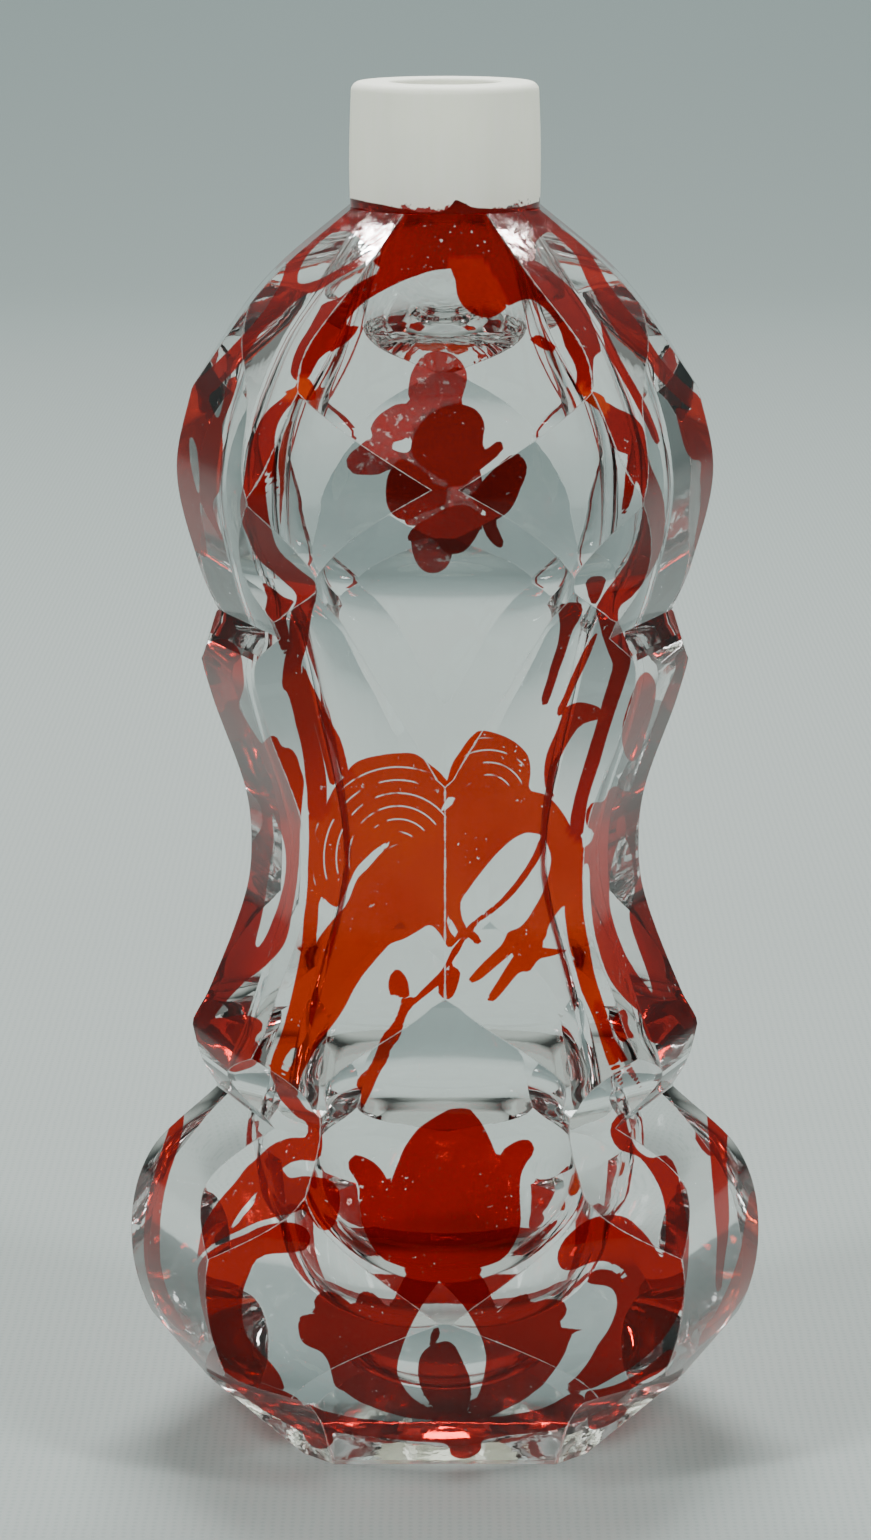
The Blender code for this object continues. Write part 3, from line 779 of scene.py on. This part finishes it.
# This layer also holds the two painted dark reflections by the notches.
LAYER_THREE = [
    (DROP, 0.45), (RIGHT_KNOT, 0.05), (PETAL_TOP, 1.0), (PETAL_LEFT, 1.0), (PETAL_RIGHT, 1.0),
    (PETAL_FOOT, 1.0), (RIGHT_STEM, 0.6), (RIGHT_UPPER_STRIPE, 0.5), (RIGHT_DARK_STRIPE, 0.9), (SEED, 0.95),
    (SEED_TIP, 0.9), (LEFT_FOOT_STRIP, 0.75), (RIGHT_FOOT_STRIP, 0.7), (RIGHT_FOOT_STRIPE, 0.6),
    (LEFT_SECOND_STRIPE, 0.4), (RIGHT_SIDE_STRIPE, 0.7), (RIGHT_NOTCH_DARK_REFLECTION, 1.0), (LEFT_NOTCH_DARK_REFLECTION, 0.9),
]
CLEAR = [
    LEFT_SIDE_SLIT, FLOWER_PALE_NOTCH, BIRD_LONG_SLIT, BIRD_TAIL_SLIT, BIRD_NECK_NOTCH, BIRD_BREAST_SLIT,
    LEFT_COLUMN_LENS, RIGHT_COLUMN_LENS, ARCH, LEFT_SCROLL_SLIT,
]
CURVE_STEPS = 3
SAME_POINT = 1e-6
FAR_OUTSIDE = 3.0


def closed_curve(points):
    """A smooth closed curve through the points, with a corner where a point is given twice."""
    points = np.array(points, float)
    before, after, next_after = np.roll(points, 1, 0), np.roll(points, -1, 0), np.roll(points, -2, 0)
    steps = []
    for k in range(CURVE_STEPS):
        t = k / CURVE_STEPS
        square = 2 * before - 5 * points + 4 * after - next_after
        cube = 3 * points - before - 3 * after + next_after
        steps.append(0.5 * (2 * points + (after - before) * t + square * t ** 2 + cube * t ** 3))
    curve = np.stack(steps, axis=1).reshape(-1, 2)
    apart = np.hypot(*(curve - np.roll(curve, -1, 0)).T) > SAME_POINT
    return curve[apart]


def distance_to(outline, across, down):
    """Distance of each point to an outline in pixels, negative inside it."""
    curve = closed_curve(outline)
    reach = FAR_OUTSIDE * PIXELS_PER_MM
    low, high = curve.min(0) - reach, curve.max(0) + reach
    near = np.flatnonzero((across > low[0]) & (across < high[0]) & (down > low[1]) & (down < high[1]))
    result = np.full(len(across), reach)
    if len(near) == 0:
        return result
    x, y = across[near], down[near]
    best = np.full(len(near), np.inf)
    inside = np.zeros(len(near), bool)
    for (x0, y0), (x1, y1) in zip(curve, np.roll(curve, -1, 0)):
        dx, dy = x1 - x0, y1 - y0
        t = np.clip(((x - x0) * dx + (y - y0) * dy) / (dx * dx + dy * dy), 0, 1)
        best = np.minimum(best, (x - x0 - t * dx) ** 2 + (y - y0 - t * dy) ** 2)
        if y0 != y1:
            inside ^= ((y0 > y) != (y1 > y)) & (x < x0 + (y - y0) / dy * dx)
    result[near] = np.where(inside, -1, 1) * np.sqrt(best)
    return result


# %% [markdown]
# The front of the bottle takes the patches through the camera's eye: each
# vertex is placed in the photograph's frame, and its distance to the outlines
# there is turned into millimetres on the glass. Only the outside is stained,
# up to the rounded lip, and only where it faces the camera.

# %% Distances on the glass
vertex_count = len(mesh.vertices)
places, ridge, facet = np.empty(vertex_count * 3), np.empty(vertex_count), np.empty(vertex_count)
mesh.vertices.foreach_get("co", places)
mesh.attributes["ridge"].data.foreach_get("value", ridge)
mesh.attributes["facet"].data.foreach_get("value", facet)
places = places.reshape(-1, 3)
radius = np.hypot(places[:, 0], places[:, 1])
height_mm = places[:, 2] / MM
HAIR = 0.01
above_shoulder = height_mm > SHOULDER - HAIR
on_facet, on_round = facet > FOOT_MARK + 0.5, facet < ROUND_MARK + 0.5
outer = on_facet | (on_round & (radius > (NECK_RADIUS - LIP_ROUNDING) * MM) & above_shoulder)
facing = outer & (places[:, 1] < 0.1 * HAIR * MM)
across, down = photo_place(places[:, 0], places[:, 1], places[:, 2])
PLAIN_DEPTH = 0.6


def layer_distance(patches, across, down):
    """The nearest patch's distance in millimetres, and its depth of colour."""
    nearest = np.full(vertex_count, FAR_OUTSIDE)
    depth = np.full(vertex_count, PLAIN_DEPTH)
    for outline, tone in patches:
        distance = distance_to(outline, across, down) / PIXELS_PER_MM
        closer = distance < nearest
        nearest = np.where(closer, distance, nearest)
        depth = np.where(closer, tone, depth)
    return nearest, depth


(stain_one, depth_one), (stain_two, depth_two), (stain_three, depth_three) = [
    layer_distance(patches, across, down) for patches in (LAYER_ONE, LAYER_TWO, LAYER_THREE)]
front_clear = np.full(vertex_count, FAR_OUTSIDE)
for outline in CLEAR:
    front_clear = np.minimum(front_clear, distance_to(outline, across, down) / PIXELS_PER_MM)
stained_share = (stain_one[facing] < 0).mean() + (stain_two[facing] < 0).mean()
print("stained share of the front:", round(float(stained_share), 2))

# %% [markdown]
# The back is plainer, as such bottles often are. The leaves, columns and
# sickles at the sides are mirrored round to it, and the collar and foot bands
# run on. Ruby rims follow the ridges of the upper lobe's broad facets.

# %% The back
RIM_WIDTH = 0.8
RIMS_FOOT = 58.0
COLLAR_FOOT = 77.8
COLLAR_TOP = SHOULDER + 0.25
FOOT_TOP = 2.4
FOOT_CLEAR = 0.8
BACK_FACET = FACETS // 4
SIDE_PATCHES = [
    (LEFT_SIDE_LEAF, 0.35), (RIGHT_SIDE_LEAF, 0.35), (LEFT_COLUMN, 0.6), (RIGHT_COLUMN, 0.6),
    (LEFT_SIDE_SICKLE, 0.5), (RIGHT_SIDE_SICKLE, 0.6), (RIGHT_SIDE_EDGE, 0.2), (LEFT_SHOULDER_LEAF, 0.6),
    (RIGHT_SIDE_BAND, 0.5), (LEFT_FOOT_STRIP, 0.75), (RIGHT_FOOT_STRIP, 0.7),
]

mirrored = photo_place(places[:, 0], -np.abs(places[:, 1]), places[:, 2])
side_patches, side_depth = layer_distance(SIDE_PATCHES, *mirrored)
side_clear = np.minimum.reduce([distance_to(lens, *mirrored) for lens in (LEFT_COLUMN_LENS, RIGHT_COLUMN_LENS)])
side_clear = side_clear / PIXELS_PER_MM
broad = (np.rint(facet).astype(int) % 2 == 0) & on_facet & (np.abs(facet - BACK_FACET) > 0.5)
back_rims = np.where(broad & (height_mm > RIMS_FOOT), ridge - RIM_WIDTH, FAR_OUTSIDE)
foot_band = np.abs(height_mm - (FOOT_TOP + FOOT_CLEAR) / 2) - (FOOT_TOP - FOOT_CLEAR) / 2
back_bands = np.maximum(np.minimum(COLLAR_FOOT - height_mm, foot_band), height_mm - COLLAR_TOP)
at_back = outer & ~facing & (np.minimum(back_rims, back_bands) < 0)
print("vertices under the back's rims and bands:", int(at_back.sum()))

# %% [markdown]
# Each finding is stored on the vertices as an attribute, which a material can
# read. Towards the sides of the waist, where one looks along it, the stain is
# painted deeper: painted shade for the darkening along the waist's edges.

# %% Attributes of the stain
def front_or_back(front, back):
    """The front's value where the glass faces the camera, the back's on the rest of the outside."""
    return np.where(facing, front, np.where(outer, back, FAR_OUTSIDE))


add_attribute("stain_one", front_or_back(stain_one, back_rims))
add_attribute("stain_two", front_or_back(stain_two, back_bands))
add_attribute("stain_three", front_or_back(stain_three, side_patches))
add_attribute("engraved", front_or_back(front_clear, side_clear))

NEAR_STAIN = 0.2
BACK_DEPTH = 0.7
WAIST_FOOT, WAIST_TOP = 24, 58
SIDE_SHADE_FROM, SIDE_SHADE_OVER = 0.72, 0.22
SIDE_PAINTED_SHADE = 0.55
upper_depth = np.where(stain_two < NEAR_STAIN, depth_two, depth_one)
depth = np.where(stain_three < NEAR_STAIN, depth_three, upper_depth)
depth = np.where(facing, depth, np.where(side_patches < NEAR_STAIN, side_depth, BACK_DEPTH))
half_width = np.interp(height_mm, rows, np.abs(body_x).max(axis=1) * SPREAD)
# Painted shade: how far a vertex lies towards the side of the waist, where the stain is darkened.
side_shade_share = np.clip((np.abs(places[:, 0]) / half_width - SIDE_SHADE_FROM) / SIDE_SHADE_OVER, 0, 1)
at_waist = (height_mm > WAIST_FOOT) & (height_mm < WAIST_TOP)
# The waist's sides get painted shade, added to the depth of the stain.
depth = np.where(at_waist, depth + SIDE_PAINTED_SHADE * side_shade_share, depth)
add_attribute("depth", depth)

# %% [markdown]
# The engraver drew feathers as thin clear arcs round the root of each wing, so
# the distance to that root is stored, and where the plumage is. The pale
# petals, the ground neck and the inside of the glass get a mark as well.

# %% Attributes of the wings, petals, neck and inside
LEFT_WING, RIGHT_WING = (398, 858), (488, 800)
LEFT_WING_SQUASH = 0.95
RIGHT_WING_OUT = 24
WINGS_MEET = 447
LEFT_WING_FOOT, LEFT_WING_SLOPE, RIGHT_WING_FOOT = 850, 0.5, 792
FROSTED_BORE = 3.0

left_wing = np.hypot(across - LEFT_WING[0], (down - LEFT_WING[1]) * LEFT_WING_SQUASH)
right_wing = np.hypot(across - RIGHT_WING[0], down - RIGHT_WING[1]) + RIGHT_WING_OUT
add_attribute("feather", np.minimum(left_wing, right_wing) / PIXELS_PER_MM)
left_foot = LEFT_WING_FOOT - LEFT_WING_SLOPE * (across - LEFT_WING[0])
wing_foot = np.where(across < WINGS_MEET, left_foot, RIGHT_WING_FOOT)
in_bird = np.minimum(distance_to(BIRD, across, down) / PIXELS_PER_MM, FAR_OUTSIDE)
plumage = np.maximum(in_bird, (down - wing_foot) / PIXELS_PER_MM)
add_attribute("plumage", np.where(facing, plumage, FAR_OUTSIDE))

pale, dark = (np.minimum.reduce([distance_to(petal, across, down) for petal in petals])
              for petals in ((FLOWER_PALE, FLOWER_PALE_FOOT), (PETAL_TOP, PETAL_LEFT, PETAL_RIGHT, PETAL_FOOT)))
add_attribute("worn", np.where(facing, np.maximum(pale, -dark) / PIXELS_PER_MM, FAR_OUTSIDE))

neck_outside = above_shoulder & (radius > (BORE_RADIUS + BORE_ROUNDING * 0.1) * MM)
neck = on_round & (neck_outside | (height_mm > TOP - FROSTED_BORE))
add_attribute("frost", np.where(neck, height_mm - SHOULDER, -1.0))
add_attribute("inside", np.where(on_round & ~neck, 1.0, 0.0))
print("vertices on the ground neck:", int(neck.sum()), "and inside:", int((on_round & ~neck).sum()))

# %% [markdown]
# Shader maths reads best as Python. A small class wraps a socket, and its
# operators add the Math nodes, so the finishes can be written as expressions.

# %% Shader expressions
class Signal:
    """A socket of a node tree that can be added, multiplied and compared."""

    def __init__(self, tree, socket):
        self.tree, self.socket = tree, socket

    def math(self, operation, *others, clamp=False):
        settings = {"operation": operation, "use_clamp": clamp}
        return node(self.tree, "ShaderNodeMath", settings, dict(enumerate((self, *others))))

    def __add__(self, other):
        return self.math("ADD", other)

    def __sub__(self, other):
        return self.math("SUBTRACT", other)

    def __rsub__(self, other):
        return node(self.tree, "ShaderNodeMath", {"operation": "SUBTRACT"}, {0: other, 1: self})

    def __mul__(self, other):
        return self.math("MULTIPLY", other)

    def __truediv__(self, other):
        return self.math("DIVIDE", other)

    __radd__ = __add__
    __rmul__ = __mul__

    def least(self, other):
        return self.math("MINIMUM", other)

    def most(self, other):
        return self.math("MAXIMUM", other)

    def above(self, level, soft):
        """0 below the level and 1 above it, with a ramp as wide as soft."""
        return ((self - (level - soft / 2)) / soft).math("ADD", 0.0, clamp=True)


def node(tree, kind, settings, inputs, output=0):
    """Adds a node: its settings first, then the values or links of its sockets."""
    made = tree.nodes.new(kind)
    for name, value in settings.items():
        if name == "stops":
            ramp = made.color_ramp
            for k, (place, colour) in enumerate(value):
                stop = ramp.elements[k] if k < len(ramp.elements) else ramp.elements.new(place)
                stop.position, stop.color = place, colour
        else:
            setattr(made, name, value)
    for name, value in inputs.items():
        if isinstance(value, Signal):
            tree.links.new(value.socket, made.inputs[name])
        elif value is not None:
            made.inputs[name].default_value = value
    return Signal(tree, made.outputs[output]) if made.outputs else None


def attribute(tree, name):
    """The number stored on the vertices under this name."""
    return node(tree, "ShaderNodeAttribute", {"attribute_name": name}, {}, output="Fac")


def noise(tree, where, scale, detail=3.0, rough=0.5):
    """Cloudy values about 0.5, finer with a larger scale."""
    sockets = {"Vector": where, "Scale": scale, "Detail": detail, "Roughness": rough}
    return node(tree, "ShaderNodeTexNoise", {}, sockets)


def mixed(tree, factor, first, second):
    """The first colour where the factor is 0, the second where it is 1."""
    return node(tree, "ShaderNodeMix", {"data_type": "RGBA"}, {0: factor, 6: first, 7: second}, output=2)


# %% [markdown]
# The glass carries its stain where a layer is inside an outline and nothing
# is engraved away. Hand-cut edges wander a little, so a fine ripple is added
# to each distance before it is compared with zero.

# %% Where the stain lies
finish = bpy.data.materials.new("stained_cut_glass")
finish.use_nodes = True
tree = finish.node_tree
tree.nodes.clear()
objects = node(tree, "ShaderNodeTexCoord", {}, {}, output="Object")

EDGE = 0.05
RIPPLE = 0.07
wobble = (noise(tree, objects, 900.0, 2.0) - 0.5) * RIPPLE
stain_body = attribute(tree, "stain_one").least(attribute(tree, "stain_two"))
not_engraved = (attribute(tree, "engraved") + wobble).above(0, EDGE)
lower_stain = (0 - stain_body - wobble).above(0, EDGE) * not_engraved
upper_stain = (0 - attribute(tree, "stain_three") - wobble).above(0, EDGE)
stained = lower_stain.most(upper_stain)

# %% [markdown]
# Long handling rubs the stain off the ridges in a thin broken line, and
# leaves specks in patches. The engraved feathers are arcs at even steps
# round the root of each wing, made by a Ping-Pong of the distance to it.

# %% Wear, and the feathers engraved in the bird
RIDGE_LINE, RIDGE_SOFT, RIDGE_BREAK = 0.03, 0.05, 0.26
FEATHER_PITCH, FEATHER_LINE, FEATHER_SOFT = 0.8, 0.045, 0.04
RIDGE_WEAR, SPECK_WEAR, FEATHER_WEAR, PETAL_WEAR, PETAL_THIN = 0.7, 0.8, 0.75, 0.4, 0.05

broken = noise(tree, objects, 1400.0, 4.0, 0.7)
ridge_place = attribute(tree, "ridge") - (broken - 0.42) * RIDGE_BREAK
ridge_line = 1 - ridge_place.above(RIDGE_LINE, RIDGE_SOFT)
specks = noise(tree, objects, 2600.0, 2.0, 0.6).above(0.70, 0.04)
patchy = noise(tree, objects, 240.0, 3.0).above(0.56, 0.12)

arc_sockets = {0: attribute(tree, "feather"), 1: FEATHER_PITCH / 2}
arc_place = node(tree, "ShaderNodeMath", {"operation": "PINGPONG"}, arc_sockets)
arc_gaps = noise(tree, objects, 420.0, 2.0).above(0.47, 0.05)
in_plumage = (0 - attribute(tree, "plumage")).above(0.45, 0.2)
arcs = (1 - arc_place.above(FEATHER_LINE, FEATHER_SOFT)) * arc_gaps * in_plumage

petal_specks = noise(tree, objects, 1900.0, 2.0, 0.6).above(0.64, 0.08)
worn = (0 - attribute(tree, "worn")).above(0, EDGE) * (PETAL_THIN + petal_specks * PETAL_WEAR)
rubbed = (ridge_line * RIDGE_WEAR).most(specks * patchy * SPECK_WEAR)
rubbed = rubbed.most(arcs * FEATHER_WEAR).most(worn)
stain_shown = stained * (1 - rubbed)

# %% [markdown]
# Four finishes make up the bottle. The first is clear glass, see-through with
# a faint green-grey cast and duller along its ridges. The second is the wall
# of the hollow. It bends light less than real glass would, because the shape
# of the real hollow is a guess and its busy reflections would be wrong.

# %% Clear glass and the wall of the hollow
GLASS_IOR, HOLLOW_IOR, GROUND_IOR = 1.5, 1.1, 1.4
CLEAR_COLOUR, HOLLOW_COLOUR = (0.93, 0.955, 0.945, 1), (0.96, 0.975, 0.97, 1)
UNEVEN_STRENGTH, UNEVEN_HEIGHT = 0.14, 0.06 * MM

long_grain = node(tree, "ShaderNodeMapping", {}, {"Vector": objects, "Scale": (1.0, 1.0, 0.15)})
scratches = noise(tree, long_grain, 1800.0, 3.0)
uneven = node(tree, "ShaderNodeBump", {}, {
    "Strength": UNEVEN_STRENGTH, "Distance": UNEVEN_HEIGHT, "Height": noise(tree, objects, 420.0, 3.0)},
    output="Normal")
dull_ridge = (1 - attribute(tree, "ridge").above(0.1, 0.12)) * 0.25
clear = node(tree, "ShaderNodeBsdfPrincipled", {}, {
    "Base Color": CLEAR_COLOUR, "Transmission Weight": 1.0, "IOR": GLASS_IOR, "Normal": uneven,
    "Roughness": 0.012 + dull_ridge + scratches.above(0.66, 0.05) * 0.05})
inner = node(tree, "ShaderNodeBsdfPrincipled", {}, {
    "Base Color": HOLLOW_COLOUR, "Transmission Weight": 1.0, "IOR": HOLLOW_IOR, "Roughness": 0.02})

# %% [markdown]
# The stain is a ruby glass whose colour follows the stored depth, from orange
# to dark red, with a soft mottle. The neck is ground: white, rough and
# scratched, with a little light coming through.

# %% Ruby stain and ground glass
RUBY = [
    (0.0, (0.46, 0.005, 0.0002, 1)), (0.3, (0.30, 0.0008, 0.0001, 1)),
    (0.7, (0.22, 0.0002, 0.0001, 1)), (1.0, (0.07, 0.0001, 0.00005, 1)),
]
MOTTLE = 0.35
RUBY_TINT = (0.5, 0.35, 0.3, 1)
GROUND_COLOUR, GROUND_PALE = (0.94, 0.98, 0.84, 1), (1.0, 1.0, 0.93, 1)

depth_of_colour = attribute(tree, "depth") + (noise(tree, objects, 160.0, 2.0) - 0.5) * MOTTLE
ruby = node(tree, "ShaderNodeValToRGB", {"stops": RUBY}, {"Fac": depth_of_colour})
stain = node(tree, "ShaderNodeBsdfPrincipled", {}, {
    "Base Color": ruby, "Transmission Weight": 0.8, "IOR": GLASS_IOR, "Specular IOR Level": 0.3,
    "Specular Tint": RUBY_TINT, "Normal": uneven, "Roughness": 0.02 + (broken - 0.45).most(0) * 0.3})
ground = node(tree, "ShaderNodeBsdfPrincipled", {}, {
    "Base Color": mixed(tree, scratches.above(0.5, 0.4) * 0.6, GROUND_COLOUR, GROUND_PALE),
    "Transmission Weight": 0.3, "IOR": GROUND_IOR, "Roughness": 0.5 + scratches * 0.25})

# %% [markdown]
# Mix Shaders lay the finishes over each other: the stain over the glass, and
# the ground neck over both. The grinding ends in a chipped edge, because a
# coarse noise is added to the height at which it starts.

# %% Put the finishes together
CHIP_REACH = 2.2
FROST_FROM, FROST_SOFT = 0.3, 0.12
chips = noise(tree, objects, 650.0, 3.0, 0.65)
frost_place = attribute(tree, "frost") + (chips - 0.5) * CHIP_REACH
frosted = frost_place.above(FROST_FROM, FROST_SOFT) * (1 - stained)
glass_walls = node(tree, "ShaderNodeMixShader", {}, {0: attribute(tree, "inside"), 1: clear, 2: inner})
stained_glass = node(tree, "ShaderNodeMixShader", {}, {0: stain_shown, 1: glass_walls, 2: stain})
whole = node(tree, "ShaderNodeMixShader", {}, {0: frosted, 1: stained_glass, 2: ground})
node(tree, "ShaderNodeOutputMaterial", {}, {"Surface": whole})
mesh.materials.append(finish)
print(len(tree.nodes), "nodes in the bottle's finish")

# %% [markdown]
# A pale floor that sweeps up into a backdrop has no horizon, as in the
# photograph. It is one profile of points, extruded sideways.

# %% Floor and backdrop
SWEEP_RADIUS = 0.3
SWEEP_START = 0.72
FLOOR_HALF_WIDTH = 2.0
FLOOR_FRONT = -1.6
BACKDROP_TOP = 1.6
SWEEP_STEPS = 24

sweep = bmesh.new()
profile = [(FLOOR_FRONT, 0.0)]
for k in range(SWEEP_STEPS + 1):
    turn = math.radians(90) * k / SWEEP_STEPS
    profile.append((SWEEP_START + SWEEP_RADIUS * math.sin(turn), SWEEP_RADIUS * (1 - math.cos(turn))))
profile.append((SWEEP_START + SWEEP_RADIUS, BACKDROP_TOP))
line = [sweep.verts.new((-FLOOR_HALF_WIDTH, y, z)) for y, z in profile]
edges = [sweep.edges.new(pair) for pair in zip(line, line[1:])]
wide = bmesh.ops.extrude_edge_only(sweep, edges=edges)
moved = [item for item in wide["geom"] if isinstance(item, bmesh.types.BMVert)]
bmesh.ops.translate(sweep, verts=moved, vec=(2 * FLOOR_HALF_WIDTH, 0, 0))
bmesh.ops.recalc_face_normals(sweep, faces=sweep.faces)
if sum((face.normal for face in sweep.faces), Vector()).z < 0:
    bmesh.ops.reverse_faces(sweep, faces=sweep.faces)
sweep_mesh = bpy.data.meshes.new("floor")
sweep.to_mesh(sweep_mesh)
sweep.free()
sweep_mesh.shade_smooth()
print(len(sweep_mesh.polygons), "faces in the floor")

# %% [markdown]
# The floor has a faint weave near the bottle, and painted shade far back: a
# greyer, cooler tone where the backdrop gets less light. The whole floor glows
# faintly, and the spot under the foot glows a little more, in place of the light
# that the glass lets through onto it, which the renderer mostly misses.

# %% Finish of the floor
# The far tone is painted shade: the backdrop is made greyer and cooler where it gets less light.
NEAR_TONE, PAINTED_FAR_SHADE = (0.208, 0.238, 0.226, 1), (0.10, 0.137, 0.134, 1)
FLOOR_GLOW, FOOT_GLOW = (0.03, 0.033, 0.031, 1), (0.42, 0.45, 0.42, 1)
FAR_SHADE_FROM, FAR_SHADE_SOFT = 0.6, 0.8
UNDER_FOOT, UNDER_FOOT_SOFT = 10 * MM, 3 * MM
WEAVE, WEAVE_DISTORTION, WEAVE_SHADE = 500.0, 1.5, 0.5

paper = bpy.data.materials.new("pale_floor")
paper.use_nodes = True
paper_tree = paper.node_tree
paper_tree.nodes.clear()
paper_place = node(paper_tree, "ShaderNodeTexCoord", {}, {}, output="Object")
across_floor, along_floor = (
    node(paper_tree, "ShaderNodeSeparateXYZ", {}, {"Vector": paper_place}, output=axis) for axis in ("X", "Y"))
# Painted shade: the share of the far tone, rising towards the back and up the backdrop.
painted_far_shade = along_floor.above(FAR_SHADE_FROM, FAR_SHADE_SOFT)
from_foot = (across_floor * across_floor + along_floor * along_floor).math("SQRT")
under_foot = (UNDER_FOOT - from_foot).above(0, UNDER_FOOT_SOFT)
thread_sockets = {"Vector": paper_place, "Scale": WEAVE, "Distortion": WEAVE_DISTORTION}
threads = [
    node(paper_tree, "ShaderNodeTexWave", {"bands_direction": way}, thread_sockets) for way in ("X", "Y")]
weave = (threads[0] * threads[1] - 0.25) * (1 - painted_far_shade) * WEAVE_SHADE
cloth = node(paper_tree, "ShaderNodeBsdfPrincipled", {}, {
    "Base Color": mixed(paper_tree, (painted_far_shade + weave).most(0), NEAR_TONE, PAINTED_FAR_SHADE), "Roughness": 0.9,
    "Emission Color": mixed(paper_tree, under_foot, FLOOR_GLOW, FOOT_GLOW), "Emission Strength": 1.0})
node(paper_tree, "ShaderNodeOutputMaterial", {}, {"Surface": cloth})
sweep_mesh.materials.append(paper)
floor = bpy.data.objects.new("floor", sweep_mesh)
bpy.context.scene.collection.objects.link(floor)

# %% [markdown]
# Soft studio light: a tall window on each side in front of the bottle, and a
# wide soft panel above and behind it, which lights the glass through.

# %% Light
AIM = Vector((0, 0, 45 * MM))


def area_light(name, place, toward, size, power):
    """A rectangle of light at a place, shining along a direction."""
    data = bpy.data.lights.new(name, "AREA")
    data.shape = "RECTANGLE"
    data.size, data.size_y = size
    data.energy = power
    light = bpy.data.objects.new(name, data)
    light.location = place
    light.rotation_euler = toward.to_track_quat("-Z", "Y").to_euler()
    bpy.context.scene.collection.objects.link(light)
    print(name, "at", tuple(round(v, 3) for v in place))


def soft_light(name, azimuth, height, distance, size, power):
    """A soft panel at an azimuth from the camera's side of the bottle, aimed at it."""
    turn = math.radians(azimuth)
    place = Vector((math.sin(turn) * distance, -math.cos(turn) * distance, height))
    area_light(name, place, AIM - place, size, power)


soft_light("window_left", -56, 0.72, 0.72, (0.14, 0.4), 9)
soft_light("window_right", 56, 0.72, 0.72, (0.14, 0.4), 8)
soft_light("back", 180, 1.0, 0.6, (0.5, 0.4), 25)

# %% [markdown]
# Two panes of a far window glint on the collar, one on each side of its front.
# A flat facet is a mirror, so a pane of light is put where that facet shows it
# to the camera, and its size follows from the size of the glint.

# %% Window panes
PANE_AWAY = 0.6
FACET_STEP = 0.3


def window_pane(name, x, height, facet, wide, tall, radiance):
    """A pane of light that a facet shows to the camera at x and height; lengths are in millimetres."""
    turn = (facet - FRONT_FACET) * FACET_TURN
    reach, reach_above = (facet_spans(np.array([h]))[0][0, facet] for h in (height, height + FACET_STEP))
    tilt = math.atan((reach - reach_above) / FACET_STEP)
    outward = Vector((math.sin(turn) * math.cos(tilt), -math.cos(turn) * math.cos(tilt), math.sin(tilt)))
    y = -(reach * SPREAD - x * MM * math.sin(turn)) / math.cos(turn)
    spot = Vector((x * MM, y, height * MM))
    view = (Vector(camera.location) - spot).normalized()
    mirrored_view = 2 * outward.dot(view) * outward - view
    enlarged = 1 + PANE_AWAY / (Vector(camera.location) - spot).length
    size = (wide * MM * enlarged, tall * MM * enlarged)
    power = radiance * math.pi * size[0] * size[1]
    area_light(name, spot + mirrored_view * PANE_AWAY, -mirrored_view, size, power)


window_pane("pane_collar_left", x=-4.1, height=80.4, facet=FRONT_FACET - 2, wide=1.2, tall=2.6, radiance=300)
window_pane("pane_collar_right", x=4.1, height=80.4, facet=FRONT_FACET + 2, wide=1.0, tall=1.8, radiance=240)

# %% [markdown]
# The rest of the light comes from the room. It is bright behind the bottle
# and dim in front, which gives clear glass dark lines to reflect.

# %% The room
ROOM_FRONT, ROOM_BACK = (0.17, 0.18, 0.17, 1), (0.68, 0.71, 0.69, 1)
ROOM_SOFT = 1.2
world = bpy.data.worlds.new("room")
world.use_nodes = True
room = world.node_tree
room.nodes.clear()
toward_room = node(room, "ShaderNodeTexCoord", {}, {}, output="Generated")
behind = node(room, "ShaderNodeSeparateXYZ", {}, {"Vector": toward_room}, output="Y").above(0.0, ROOM_SOFT)
room_colour = mixed(room, behind, ROOM_FRONT, ROOM_BACK)
room_light = node(room, "ShaderNodeBackground", {}, {"Color": room_colour, "Strength": 1.0})
node(room, "ShaderNodeOutputWorld", {}, {"Surface": room_light})
bpy.context.scene.world = world
print("the room is lit by", len(bpy.data.lights), "area lights and a world")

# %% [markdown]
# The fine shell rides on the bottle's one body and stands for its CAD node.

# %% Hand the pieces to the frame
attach(bottle, "root")
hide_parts("glass_bottle")
